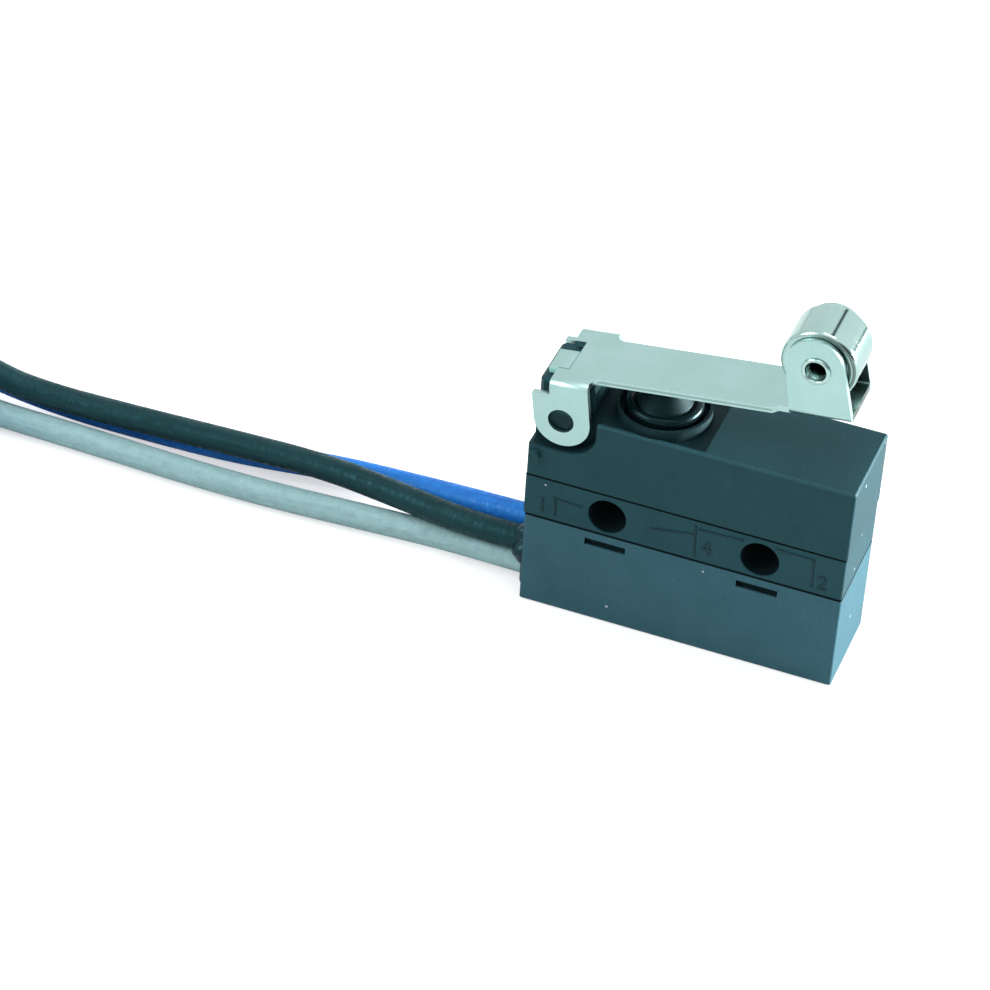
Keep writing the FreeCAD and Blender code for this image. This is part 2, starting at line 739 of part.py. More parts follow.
def make_common_terminal():
    """Common terminal: tail, pivot post for the blade, and a shelf with the spring's anchor."""
    body = add_body("common_terminal")
    half = terminal_thickness / 2
    post = blade_width / 2
    pad(body, "YZ_Plane", common_x - half, common_x + half, [
        (black_y[0], tail_bottom_black), (black_y[1], tail_bottom_black), (black_y[1], shelf_bottom),
        (post, shelf_bottom), (post, blade_bottom - fit_gap), (-post, blade_bottom - fit_gap),
        (-post, shelf_top), (black_y[0], shelf_top),
    ])
    shelf_end = Size(0, "0") - terminal_thickness * 1.7
    half_shelf = blade_width / 2 - blade_arm_width
    pad(body, "XY_Plane", shelf_bottom, shelf_top,
        rectangle(common_x, shelf_end, -half_shelf, half_shelf))
    pad(body, "YZ_Plane", shelf_end - shelf_thickness, shelf_end,
        rectangle(-half_shelf * 0.7, half_shelf * 0.7, shelf_bottom + shelf_thickness / 2,
                  shelf_top + anchor_height))
    tail_eyelet(body, common_x, black_middle, black_exit_z)
    return body


def make_open_terminal():
    """Normally open terminal: tail and the shelf that carries the lower contact."""
    body = add_body("normally_open_terminal")
    half = terminal_thickness / 2
    pad(body, "YZ_Plane", -half, half,
        rectangle(blue_y[0], blue_y[1], tail_bottom_blue, shelf_top))
    pad(body, "XY_Plane", shelf_bottom, shelf_top,
        rectangle(0, contact_x + contact_diameter / 2, -contact_diameter / 2 - 0.1, contact_diameter / 2 + 0.1))
    cut(body, "XY_Plane", shelf_bottom, shelf_top, ("circle", contact_x, 0, contact_shank + fit_gap * 2))
    tail_eyelet(body, Size(0, "0"), blue_middle, blue_exit_z)
    return body


def make_closed_terminal():
    """Normally closed terminal: tall tail and the arm that holds the upper contact."""
    body = add_body("normally_closed_terminal")
    half = terminal_thickness / 2
    arm_half = contact_diameter / 2 + 0.1
    arm_top = closed_arm_bottom + shelf_thickness
    pad(body, "YZ_Plane", closed_x - half, closed_x + half, [
        (grey_y[0], tail_bottom_grey), (grey_y[1], tail_bottom_grey), (grey_y[1], blade_top),
        (arm_half, blade_top), (arm_half, arm_top), (grey_y[0], arm_top),
    ])
    pad(body, "XY_Plane", closed_arm_bottom, arm_top,
        rectangle(contact_x - contact_diameter / 2, closed_x, -arm_half, arm_half))
    cut(body, "XY_Plane", closed_arm_bottom, arm_top,
        ("circle", contact_x, 0, contact_shank + fit_gap * 2))
    tail_eyelet(body, closed_x, grey_middle, grey_exit_z)
    return body


def make_contact(name, face, inward, depth):
    """A rivet contact: its head's face level, the way to its carrier, and the carrier's thickness."""
    body = add_body(name)
    head = contact_diameter / 2
    shank = contact_shank / 2
    seat = face + contact_height * inward
    end = seat + depth * inward
    corners = [(0, face), (head * 0.8, face), (head, face + contact_height * 0.3 * inward), (head, seat),
               (shank, seat), (shank, end), (0, end)]
    if inward < 0:
        corners.reverse()
    turn(body, "XZ_Plane", "V_Axis", corners)
    place(body, contact_x, 0, 0)
    return body


def make_moving_blade():
    """The spring-copper blade: two arms round a window, a hooked left end and the contact's end."""
    body = add_body("moving_blade")
    left = common_x - terminal_thickness / 2
    right = contact_x + blade_overhang
    half = blade_width / 2
    inner = half - blade_arm_width
    window_left = common_x + terminal_thickness * 2
    window_right = contact_x - contact_diameter * 2
    pad(body, "XY_Plane", blade_bottom, blade_top,
        [(left, -half), (window_right, -half), (right, -inner), (right, inner), (window_right, half),
         (left, half)],
        rounded(window_left, window_right, -inner, inner, Size(0.3, "0.3")),
        ("circle", contact_x, 0, contact_shank + fit_gap * 2))
    return body


def make_moving_contact():
    """The double-headed contact riveted through the blade."""
    body = add_body("moving_contact")
    head = contact_diameter / 2
    shank = contact_shank / 2
    low = blade_bottom - contact_height
    high = blade_top + contact_height
    step = contact_height * 0.3
    turn(body, "XZ_Plane", "V_Axis", [
        (0, low), (head * 0.8, low), (head, low + step), (head, blade_bottom), (shank, blade_bottom),
        (shank, blade_top), (head, blade_top), (head, high - step), (head * 0.8, high), (0, high),
    ])
    place(body, contact_x, 0, 0)
    return body


def make_snap_spring():
    """The bowed leaf between the common terminal's anchor and the blade's window."""
    body = add_body("snap_spring")
    left = Size(0, "0") - terminal_thickness * 1.7 + fit_gap
    right = contact_x - contact_diameter * 2 - fit_gap
    level = shelf_top + anchor_height - spring_thickness
    middle = (left + right) / 2
    drop = blade_bottom - level
    rise = (right - left) * 0.18
    half = blade_width / 2 - blade_arm_width - fit_gap * 4
    inner = spring_thickness
    pad(body, "XZ_Plane", -half, half, [
        (left, level), (left + inner, level), (middle - rise, level + rise + drop),
        (middle + rise, level + rise + drop), (right - inner, level + drop), (right, level + drop),
        (middle + rise + inner / 2, level + rise + drop + inner),
        (middle - rise - inner / 2, level + rise + drop + inner),
    ])
    return body


def make_conductor(name, tail_x, inner_end, y, z):
    """The stripped end of a lead, through its tail's eyelet."""
    item = doc.addObject("Part::Cylinder", name)
    item.Label = name
    item.Placement = FreeCAD.Placement(VEC(0, 0, 0), FreeCAD.Rotation(VEC(0, 1, 0), 90))
    bind(item, "Radius", conductor_diameter / 2)
    bind(item, "Height", tail_x + terminal_thickness * 1.2 - inner_end)
    place(item, inner_end + fit_gap, y, z)
    return item


def make_solder(name, x, y, z):
    """The solder that fills one eyelet and spreads on both faces of the tail."""
    body = add_body(name)
    bore = conductor_diameter / 2 + fit_gap / 2
    spread = solder_diameter / 2
    face = terminal_thickness / 2 + fit_gap / 2
    neck = conductor_diameter / 2 + 0.15 - fit_gap / 2
    turn(body, "XZ_Plane", "H_Axis", [
        (-face * 2, bore), (face * 2, bore), (face * 2, neck), (face, spread), (face, neck),
        (-face, neck), (-face, spread), (-face * 2, neck),
    ])
    place(body, x, y, z)
    return body


# Where each lead leaves the body, and the tail it is soldered to
grey_exit_z = size("grey_exit_z", 1.35)
black_exit_z = size("black_exit_z", 3.08)
blue_exit_z = size("blue_exit_z", 3.2)
grey_middle = size("grey_middle", -1.3)
black_middle = size("black_middle", -1.35)
blue_middle = size("blue_middle", 0.65)
tail_margin = size("tail_margin", 0.7)
doc.recompute()
grey_y = (grey_middle - tail_width / 2, grey_middle + tail_width / 2)
black_y = (black_middle - tail_width / 2, black_middle + tail_width / 2)
blue_y = (blue_middle - tail_width / 2, blue_middle + tail_width / 2)
tail_bottom_grey = grey_exit_z - tail_margin
tail_bottom_black = black_exit_z - tail_margin
tail_bottom_blue = blue_exit_z - tail_margin

# Route of each lead: its soldered end first, then out of the left wall and along the ground.
GREY_ROUTE = [
    (6.8, -1.3, 1.35), (3.2, -1.26, 1.36), (-0.4, -1.31, 1.35), (-4.0, -1.27, 1.36),
    (-7.6, -1.3, 1.35), (-11.6, -1.2, 1.3), (-15.6, -0.77, 0.96), (-21.0, -0.97, 0.86),
    (-27.5, -1.37, 0.85), (-34.0, -1.36, 0.86), (-40.5, -1.08, 0.85), (-47.6, -1.0, 0.88),
    (-50.7, -0.1, 1.32),
]
BLACK_ROUTE = [
    (-7.6, -1.35, 3.08), (-11.4, -1.4, 3.05), (-15.0, -0.95, 2.76), (-19.2, 0.1, 2.43),
    (-24.6, 1.0, 2.3), (-31.0, 0.8, 2.27), (-37.5, 0.5, 2.28), (-43.0, 0.34, 2.3),
    (-46.6, 0.17, 2.85), (-51.6, 0.43, 4.85),
]
BLUE_ROUTE = [
    (-1.2, 0.65, 3.2), (-4.6, 0.7, 3.21), (-8.0, 0.63, 3.2), (-11.6, 0.68, 3.1),
    (-15.4, 1.5, 2.35), (-19.6, 2.6, 1.28), (-24.6, 2.8, 0.86), (-30.8, 1.78, 0.85),
    (-37.2, 1.55, 0.86), (-42.0, 1.55, 0.87), (-46.7, 1.5, 1.4), (-52.2, 0.95, 3.17),
]


def route_wire(points):
    """Straight runs joined by tangent arcs, each as large as its two runs allow."""
    points = [VEC(*p) for p in points]
    edges = []
    radii = []
    here = points[0]
    for before, corner, after in zip(points, points[1:], points[2:]):
        into = corner - before
        out = after - corner
        half_turn = into.getAngle(out) / 2
        reach = 0.45 * min(into.Length, out.Length)
        radii.append(reach / math.tan(half_turn))
        into.normalize()
        out.normalize()
        first = corner - into * reach
        last = corner + out * reach
        towards = out - into
        towards.normalize()
        middle = corner + towards * (radii[-1] / math.cos(half_turn) - radii[-1])
        edges.append(Part.LineSegment(here, first).toShape())
        edges.append(Part.Arc(first, middle, last).toShape())
        here = last
    edges.append(Part.LineSegment(here, points[-1]).toShape())
    return Part.Wire(edges), radii


def tube_shape(points, diameter):
    wire, radii = route_wire(points)
    start = VEC(*points[0])
    along = VEC(*points[1]) - start
    section = Part.Wire([Part.makeCircle(diameter / 2, start, along)])
    return wire.makePipeShell([section], True, False), wire.Length, radii


def make_return_spring():
    """The coil spring under the plunger's foot, with its end turns closed."""
    low = shelf_top.number + fit_gap.number + coil_wire.number / 2
    high = foot_bottom.number - fit_gap.number - coil_wire.number / 2
    turns = coil_turns.number
    closed = coil_wire.number * 1.15
    slope = (high - low - 2 * closed) / (turns - 2)
    radius = (coil_diameter.number - coil_wire.number) / 2
    points = []
    for step in range(int(turns * 8) + 1):
        done = step / 8
        level = low + closed * min(done, 1) + slope * min(max(done - 1, 0), turns - 2)
        level += closed * max(done - turns + 1, 0)
        angle = math.pi / 4 * step
        points.append((plunger_x.number + radius * math.cos(angle), radius * math.sin(angle), level))
    item = doc.addObject("Part::Feature", "return_spring")
    item.Label = "return_spring"
    item.Shape = tube_shape(points, coil_wire.number)[0]
    return item


def make_lead(name, points):
    """One insulated lead, from its solder joint to its hank."""
    shape, length, radii = tube_shape(points, lead_diameter.number)
    section = math.pi * lead_diameter.number ** 2 / 4
    print("%s length %.1f volume ratio %.4f radii %s" % (
        name, length, shape.Volume / (length * section), " ".join("%.0f" % r for r in radii)))
    item = doc.addObject("Part::Feature", name)
    item.Label = name
    item.Shape = shape
    return item


def make_potting_resin(routes):
    """The resin that fills the housing round the tails and leads and swells out at the window."""
    gap = resin_gap.number
    inner_x = half_length.number - housing_wall.number - gap
    inner_y = half_width.number - housing_wall.number - gap
    low = housing_floor.number + gap
    fill = Part.makeBox(2 * inner_x, 2 * inner_y, resin_height.number - low, VEC(-inner_x, -inner_y, low))
    side = window_half_width.number - gap
    reach = half_length.number + bead_length.number
    plug = Part.makeBox(reach - inner_x + 1, 2 * side, window_top.number - gap - low, VEC(-reach, -side, low))
    bead_edges = [e for e in plug.Edges if e.BoundBox.XMax < -reach + 1e-6]
    plug = plug.makeFillet(bead_round.number, bead_edges)
    solid = fill.fuse(plug)
    gaps = []
    for points in routes:
        gaps.append(tube_shape(points[:8], lead_diameter.number + 2 * gap)[0])
    for x, inner, y, z, y_span, bottom in (
            (common_x, BLACK_ROUTE[0][0], black_middle, black_exit_z, black_y, tail_bottom_black),
            (Size(0, "0"), BLUE_ROUTE[0][0], blue_middle, blue_exit_z, blue_y, tail_bottom_blue),
            (closed_x, GREY_ROUTE[0][0], grey_middle, grey_exit_z, grey_y, tail_bottom_grey)):
        length = x.number + 0.6 - inner
        gaps.append(Part.makeCylinder(solder_diameter.number / 2 + gap, length,
                                      VEC(inner, y.number, z.number), VEC(1, 0, 0)))
        half = terminal_thickness.number / 2 + gap
        width = y_span[1].number - y_span[0].number + 2 * gap
        gaps.append(Part.makeBox(2 * half, width, base_bottom.number,
                                 VEC(x.number - half, y_span[0].number - gap, bottom.number - gap)))
    for tool in gaps:
        solid = solid.cut(tool)
    item = doc.addObject("Part::Feature", "potting_resin")
    item.Label = "potting_resin"
    item.Shape = solid.removeSplitter()
    return item


def make_hank(name, layer):
    """The outer shape of one lead's folded turns: a flat racetrack round a slot."""
    body = add_body(name)
    outer = outer_turn + lead_diameter / 2
    inner = fold_radius - lead_diameter / 2
    low = tie_thickness + layer_pitch * layer + fit_gap
    for feature, reach in ((pad, outer), (cut, inner)):
        feature(body, "XY_Plane", low, low + lead_diameter, [
            (hank_near_end, hank_y - reach, (hank_near_end, hank_y, 1)), (hank_near_end, hank_y + reach),
            (hank_far_end, hank_y + reach, (hank_far_end, hank_y, 1)), (hank_far_end, hank_y - reach),
        ])
    return body


def make_hank_tie():
    """The flat band that holds the three hanks together."""
    body = add_body("hank_tie")
    middle = (hank_near_end + hank_far_end) / 2
    inner = outer_turn + lead_diameter / 2 + fit_gap
    stack = tie_thickness + layer_pitch * 3 + fit_gap
    outer = inner + tie_thickness
    pad(body, "YZ_Plane", middle - tie_width / 2, middle + tie_width / 2,
        rounded(hank_y - outer, hank_y + outer, Size(0, "0"), stack + tie_thickness, tie_thickness),
        rectangle(hank_y - inner, hank_y + inner, tie_thickness, stack))
    return body


def make_lead_end(name, layer):
    """The tinned free end of one lead, inside the slot of its hank."""
    item = doc.addObject("Part::Cylinder", name)
    item.Label = name
    item.Placement = FreeCAD.Placement(VEC(0, 0, 0), FreeCAD.Rotation(VEC(0, 1, 0), 90))
    bind(item, "Radius", conductor_diameter / 2)
    bind(item, "Height", tinned_length)
    place(item, hank_near_end - tinned_length - 1, hank_y - fold_radius + lead_diameter,
          tie_thickness + layer_pitch * layer + fit_gap + lead_diameter / 2)
    return item


parts = [
    make_terminal_housing(),
    make_switch_base(),
    make_cap_gasket(),
    make_upper_cap(),
    make_sealing_boot(),
    make_plunger_guide(),
    make_plunger(),
    make_actuator_lever(),
    make_roller(),
    make_roller_rivet(),
    make_common_terminal(),
    make_open_terminal(),
    make_closed_terminal(),
    make_contact("lower_contact", open_contact_top, -1, shelf_thickness),
    make_contact("upper_contact", closed_contact_bottom, 1, shelf_thickness),
    make_moving_blade(),
    make_moving_contact(),
    make_snap_spring(),
    make_return_spring(),
    make_conductor("black_conductor", common_x, as_size(BLACK_ROUTE[0][0]), black_middle, black_exit_z),
    make_conductor("blue_conductor", Size(0, "0"), as_size(BLUE_ROUTE[0][0]), blue_middle, blue_exit_z),
    make_conductor("grey_conductor", closed_x, as_size(GREY_ROUTE[0][0]), grey_middle, grey_exit_z),
    make_solder("black_solder", common_x, black_middle, black_exit_z),
    make_solder("blue_solder", Size(0, "0"), blue_middle, blue_exit_z),
    make_solder("grey_solder", closed_x, grey_middle, grey_exit_z),
    make_lead("grey_lead", GREY_ROUTE),
    make_lead("black_lead", BLACK_ROUTE),
    make_lead("blue_lead", BLUE_ROUTE),
    make_potting_resin([GREY_ROUTE, BLACK_ROUTE, BLUE_ROUTE]),
    make_hank("grey_hank", 0),
    make_hank("blue_hank", 1),
    make_hank("black_hank", 2),
    make_hank_tie(),
    make_lead_end("grey_lead_end", 0),
    make_lead_end("blue_lead_end", 1),
    make_lead_end("black_lead_end", 2),
]

doc.recompute()
for item in doc.Objects:
    if "Invalid" in item.State or "Error" in item.State:
        raise RuntimeError("%s failed" % item.Label)
os.makedirs("parts", exist_ok=True)
for part in parts:
    shape = part.Shape
    if shape.isNull() or not shape.isValid() or len(shape.Solids) != 1:
        raise RuntimeError("%s has no single valid solid" % part.Label)
    shape.exportStep("parts/%s.step" % part.Label)
    box = shape.BoundBox
    print("%-18s %8.2f mm3  x %.2f %.2f  y %.2f %.2f  z %.2f %.2f" % (
        part.Label, shape.Volume, box.XMin, box.XMax, box.YMin, box.YMax, box.ZMin, box.ZMax))
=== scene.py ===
"""Looks of a sealed snap-action switch with a roller lever and three side leads.

The frame is the switch's own: +X along the body towards the roller, +Y from the face with the
diagram to the plain face, +Z up, the origin under the body's middle. Pieces are made in metres.
Named sizes and places are in millimetres where their comment doesn't say metres.
"""

import math

import bmesh
import bpy
from mathutils import Matrix, Vector


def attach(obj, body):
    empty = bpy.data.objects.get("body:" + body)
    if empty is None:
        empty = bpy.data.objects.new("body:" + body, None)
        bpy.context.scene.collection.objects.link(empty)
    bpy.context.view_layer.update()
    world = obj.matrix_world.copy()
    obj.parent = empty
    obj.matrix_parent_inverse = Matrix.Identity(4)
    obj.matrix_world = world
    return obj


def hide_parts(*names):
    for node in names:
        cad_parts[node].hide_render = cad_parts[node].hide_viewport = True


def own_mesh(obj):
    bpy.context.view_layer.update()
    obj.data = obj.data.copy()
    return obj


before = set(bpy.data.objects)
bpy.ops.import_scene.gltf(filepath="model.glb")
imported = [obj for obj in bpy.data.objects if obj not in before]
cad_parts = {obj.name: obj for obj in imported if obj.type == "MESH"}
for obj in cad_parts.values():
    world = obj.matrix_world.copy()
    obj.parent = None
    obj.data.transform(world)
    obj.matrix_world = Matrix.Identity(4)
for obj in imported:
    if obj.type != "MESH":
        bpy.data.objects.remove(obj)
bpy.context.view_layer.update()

MM = 0.001
scene = bpy.context.scene

# Body sizes that the pieces here share with the CAD source, in millimetres
HALF_LENGTH = 9.9
HALF_WIDTH = 3.2
CAP_TOP = 14.5
PLUNGER_X = -2.77
PARTINGS = (6.6, 9.6)
HOLE_X = 4.75
HOLE_Z = 8.0
HOLE_RADIUS = 1.2
ROLLER_X = 6.432
ROLLER_Z = 21.534

# Finish of meshes: how near vertices are when they merge, in metres, and the angles that stay sharp
NEAR_OWN = 1e-7
NEAR_CAD = 1e-6
NEAR_LETTER = 1e-5
BEVEL_ANGLE = 32
SHARP_TURN = 40


# Helpers for pieces

def mm(*values):
    """A point given in millimetres, in metres."""
    return Vector(values) * MM


def add_piece(name, mesh, material, body):
    """Puts a finished mesh into the scene, with its material and the body it rides on."""
    piece = bpy.data.objects.new(name, mesh)
    scene.collection.objects.link(piece)
    mesh.materials.clear()
    mesh.materials.append(material)
    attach(piece, body)
    return piece


def mesh_from(form, name):
    """Turns a finished bmesh into a smooth mesh whose faces point outwards."""
    bmesh.ops.remove_doubles(form, verts=form.verts, dist=NEAR_OWN)
    bmesh.ops.recalc_face_normals(form, faces=form.faces)
    mesh = bpy.data.meshes.new(name)
    form.to_mesh(mesh)
    form.free()
    for face in mesh.polygons:
        face.use_smooth = True
    return mesh


def finish_edges(piece, width):
    """Welds a CAD node's loose triangles and rounds its sharp edges."""
    weld = piece.modifiers.new("weld", "WELD")
    weld.merge_threshold = NEAR_CAD
    bevel = piece.modifiers.new("round", "BEVEL")
    bevel.width = width * MM
    bevel.segments = 2
    bevel.limit_method = "ANGLE"
    bevel.angle_limit = math.radians(BEVEL_ANGLE)
    bevel.use_clamp_overlap = True
    bevel.harden_normals = True


# Camera, at the photograph's place and angle; its reach is in metres

CAMERA_PLACE = (46.722, -173.492, 151.466)
CAMERA_TURN = (51.2692, -2.7517, 21.1762)
CAMERA_LENS = 140.68
CAMERA_SENSOR = 36.0
CAMERA_REACH = (0.01, 10.0)

camera_data = bpy.data.cameras.new("camera")
camera_data.lens = CAMERA_LENS
camera_data.sensor_width = CAMERA_SENSOR
camera_data.clip_start, camera_data.clip_end = CAMERA_REACH
camera = bpy.data.objects.new("camera", camera_data)
camera.location = mm(*CAMERA_PLACE)
camera.rotation_euler = [math.radians(a) for a in CAMERA_TURN]
scene.collection.objects.link(camera)
scene.camera = camera


# Node helpers for materials

def new_material(name):
    """A material with its node tree and its shader."""
    material = bpy.data.materials.new(name)
    material.use_nodes = True
    tree = material.node_tree
    return material, tree, tree.nodes["Principled BSDF"]


def link(tree, source, target):
    tree.links.new(source, target)


def ramp(tree, source, stops):
    """A colour ramp on a value: stops are (position, grey level or colour)."""
    node = tree.nodes.new("ShaderNodeValToRGB")
    elements = node.color_ramp.elements
    while len(elements) < len(stops):
        elements.new(0.5)
    for element, (place, level) in zip(elements, stops):
        element.position = place
        colour = level if isinstance(level, tuple) else (level, level, level)
        element.color = (*colour, 1.0)
    link(tree, source, node.inputs["Fac"])
    return node.outputs["Color"]


def mixed(tree, amount, first, second):
    """A mix of two colours; each is a socket or a plain colour."""
    node = tree.nodes.new("ShaderNodeMix")
    node.data_type = "RGBA"
    for socket, value in ((node.inputs["Factor"], amount), (node.inputs["A"], first),
                          (node.inputs["B"], second)):
        if hasattr(value, "links"):
            link(tree, value, socket)
        elif isinstance(value, tuple):
            socket.default_value = (*value, 1.0)
        else:
            socket.default_value = value
    return node.outputs["Result"]


def blended(tree, kind, amount, first, second):
    """Two colour sockets put together by a blend type."""
    result = mixed(tree, amount, first, second)
    result.node.blend_type = kind
    return result


def place_coordinates(tree):
    """The point on the piece."""
    return tree.nodes.new("ShaderNodeTexCoord").outputs["Object"]


def build_group(name, inputs, outputs):
    """A node group with named inputs and outputs."""
    group = bpy.data.node_groups.new(name, "ShaderNodeTree")
    for label, kind, value in inputs:
        socket = group.interface.new_socket(name=label, in_out="INPUT", socket_type=kind)
        if value is not None:
            socket.default_value = value
    for label, kind in outputs:
        group.interface.new_socket(name=label, in_out="OUTPUT", socket_type=kind)
    return group, group.nodes.new("NodeGroupInput"), group.nodes.new("NodeGroupOutput")


def use_group(tree, group, **values):
    """A group in a material, fed with the point on the piece and the given values."""
    node = tree.nodes.new("ShaderNodeGroup")
    node.node_tree = group
    for label, value in values.items():
        node.inputs[label].default_value = value
    link(tree, place_coordinates(tree), node.inputs["Place"])
    return node


def math_node(tree, operation, *values):
    """A sum on values; each is a socket or a plain number."""
    node = tree.nodes.new("ShaderNodeMath")
    node.operation = operation
    for socket, value in zip(node.inputs, values):
        if hasattr(value, "links"):
            link(tree, value, socket)
        else:
            socket.default_value = value
    return node.outputs["Value"]


def product(tree, first, second):
    return math_node(tree, "MULTIPLY", first, second)


def absolute(tree, value):
    return math_node(tree, "ABSOLUTE", value)


def offset(tree, value, middle):
    """How far a coordinate lies past a place."""
    return math_node(tree, "SUBTRACT", value, middle * MM)


def below(tree, value, limit):
    """1 where a coordinate or distance is under a limit, otherwise 0."""
    return math_node(tree, "LESS_THAN", value, limit * MM)


def above(tree, value, limit):
    """1 where a coordinate or distance is over a limit, otherwise 0."""
    return math_node(tree, "GREATER_THAN", value, limit * MM)


def hypotenuse(tree, first, second):
    """The distance that two offsets at right angles make."""
    squares = math_node(tree, "MULTIPLY_ADD", first, first, product(tree, second, second))
    return math_node(tree, "SQRT", squares)


def place_parts(tree, place=None):
    """The X, Y and Z of a place, or of the point on the piece."""
    if place is None:
        place = place_coordinates(tree)
    parts = tree.nodes.new("ShaderNodeSeparateXYZ")
    link(tree, place, parts.inputs["Vector"])
    return [parts.outputs[axis] for axis in "XYZ"]


def noise(tree, place, scale, detail=3.0, roughness=0.55, stretch=None):
    """Noise on a place; scale, or stretch along each axis, is its number of features per unit."""
    if stretch:
        mapping = tree.nodes.new("ShaderNodeMapping")
        mapping.inputs["Scale"].default_value = stretch
        link(tree, place, mapping.inputs["Vector"])
        place = mapping.outputs["Vector"]
    node = tree.nodes.new("ShaderNodeTexNoise")
    node.inputs["Scale"].default_value = scale
    node.inputs["Detail"].default_value = detail
    node.inputs["Roughness"].default_value = roughness
    link(tree, place, node.inputs["Vector"])
    return node.outputs["Fac"]


# Dust on the moulded plastic: cells per metre, a speck's reach in its cell, and the share of cells
# that have none
SPECK_SCALE = 700.0
SPECK_REACH = 0.07
SPECK_RARITY = 0.87


def build_moulded_skin():
    """Moulded plastic: a fine spark grain, cloudy gloss, and a few pale dust specks."""
    group, given, out = build_group(
        "moulded skin",
        [("Place", "NodeSocketVector", None), ("Grain", "NodeSocketFloat", 9000.0),
         ("Dust", "NodeSocketFloat", 0.5)],
        [("Height", "NodeSocketFloat"), ("Cloud", "NodeSocketFloat"), ("Specks", "NodeSocketFloat")])
    fine = group.nodes.new("ShaderNodeTexNoise")
    fine.inputs["Detail"].default_value = 2.0
    link(group, given.outputs["Place"], fine.inputs["Vector"])
    link(group, given.outputs["Grain"], fine.inputs["Scale"])
    link(group, fine.outputs["Fac"], out.inputs["Height"])
    link(group, noise(group, given.outputs["Place"], 420.0, 4.0), out.inputs["Cloud"])
    cells = group.nodes.new("ShaderNodeTexVoronoi")
    cells.inputs["Scale"].default_value = SPECK_SCALE
    link(group, given.outputs["Place"], cells.inputs["Vector"])
    near = math_node(group, "LESS_THAN", cells.outputs["Distance"], SPECK_REACH)
    shade = group.nodes.new("ShaderNodeSeparateColor")
    link(group, cells.outputs["Color"], shade.inputs["Color"])
    chosen = math_node(group, "GREATER_THAN", shade.outputs["Red"], SPECK_RARITY)
    specks = product(group, near, chosen)
    link(group, product(group, specks, given.outputs["Dust"]), out.inputs["Specks"])
    return group


def build_sheet_metal():
    """Rolled sheet: fine lines along X, clouding from handling and small scratches."""
    group, given, out = build_group(
        "sheet metal", [("Place", "NodeSocketVector", None)],
        [("Lines", "NodeSocketFloat"), ("Cloud", "NodeSocketFloat"), ("Scratches", "NodeSocketFloat")])
    place = given.outputs["Place"]
    link(group, noise(group, place, 1.0, 3.0, 0.6, (900.0, 12000.0, 12000.0)), out.inputs["Lines"])
    link(group, noise(group, place, 500.0, 5.0, 0.6), out.inputs["Cloud"])
    wave = noise(group, place, 1.0, 1.0, 0.5, (400.0, 2600.0, 2600.0))
    thin = ramp(group, wave, [(0.0, 0.0), (0.485, 0.0), (0.5, 1.0), (0.515, 0.0), (1.0, 0.0)])
    patch = ramp(group, noise(group, place, 240.0, 2.0), [(0.5, 0.0), (0.62, 1.0)])
    link(group, product(group, thin, patch), out.inputs["Scratches"])
    return group


# Painted shade and a painted highlight on the moulded shells: half the height of the painted
# shade along a parting, how far under the skin the openings begin, and the reach of the painted
# shade round the boot's collar and of the painted highlight along the upper rim
GROOVE_HALF = 0.085
HOLE_MARGIN = 0.06
SIDE_SKIN = 0.1
END_SKIN = 0.12
COLLAR_REACH = 2.95
COLLAR_DEPTH = 0.5
RIM_DROP = 0.05
RIM_HALF = 0.055
RIM_SIDE = 0.17
RIM_END = 0.1


def build_shade_places():
    """Painted shade in a moulded shell's partings and openings, and a painted highlight on its rim."""
    labels = ("Groove", "Hole", "Inside", "Sunk", "Collar", "Rim")
    group, given, out = build_group("shade places", [("Place", "NodeSocketVector", None)],
                                    [(label, "NodeSocketFloat") for label in labels])
    along, across, height = place_parts(group, given.outputs["Place"])
    from_middle = absolute(group, along)
    from_centre = absolute(group, across)
    grooves = [below(group, absolute(group, offset(group, height, level)), GROOVE_HALF)
               for level in PARTINGS]
    link(group, math_node(group, "MAXIMUM", *grooves), out.inputs["Groove"])
    reach = hypotenuse(group, offset(group, from_middle, HOLE_X), offset(group, height, HOLE_Z))
    in_hole = below(group, reach, HOLE_RADIUS + HOLE_MARGIN)
    under_skin = below(group, from_centre, HALF_WIDTH - SIDE_SKIN)
    link(group, product(group, in_hole, under_skin), out.inputs["Hole"])
    inside = product(group, under_skin, below(group, from_middle, HALF_LENGTH - END_SKIN))
    link(group, inside, out.inputs["Inside"])
    sunk = product(group, inside, below(group, height, CAP_TOP - END_SKIN))
    link(group, sunk, out.inputs["Sunk"])
    near = below(group, hypotenuse(group, offset(group, along, PLUNGER_X), across), COLLAR_REACH)
    collar = product(group, near, above(group, height, CAP_TOP - COLLAR_DEPTH))
    link(group, collar, out.inputs["Collar"])
    # Painted highlight: the Rim mask is a band along the upper edges.
    at_top = below(group, absolute(group, offset(group, height, CAP_TOP - RIM_DROP)), RIM_HALF)
    at_side = above(group, from_centre, HALF_WIDTH - RIM_SIDE)
    at_end = above(group, along, HALF_LENGTH - RIM_END)
    rim = product(group, at_top, math_node(group, "MAXIMUM", at_side, at_end))
    link(group, rim, out.inputs["Rim"])
    return group


moulded_skin = build_moulded_skin()
sheet_metal = build_sheet_metal()
shade_places = build_shade_places()


def bump(tree, shader, height, strength, distance):
    """A relief on the shader, its depth in metres."""
    node = tree.nodes.new("ShaderNodeBump")
    node.inputs["Strength"].default_value = strength
    node.inputs["Distance"].default_value = distance
    link(tree, height, node.inputs["Height"])
    link(tree, node.outputs["Normal"], shader.inputs["Normal"])


# Depths of the reliefs, in metres, and the colours laid over the materials' own
SKIN_RELIEF = 0.00002
SHEET_RELIEF = 0.00001
RIDGE_RELIEF = 0.00011
DUST_COLOUR = (0.75, 0.85, 0.85)
SHADE_COLOUR = (0.0006, 0.002, 0.0026)
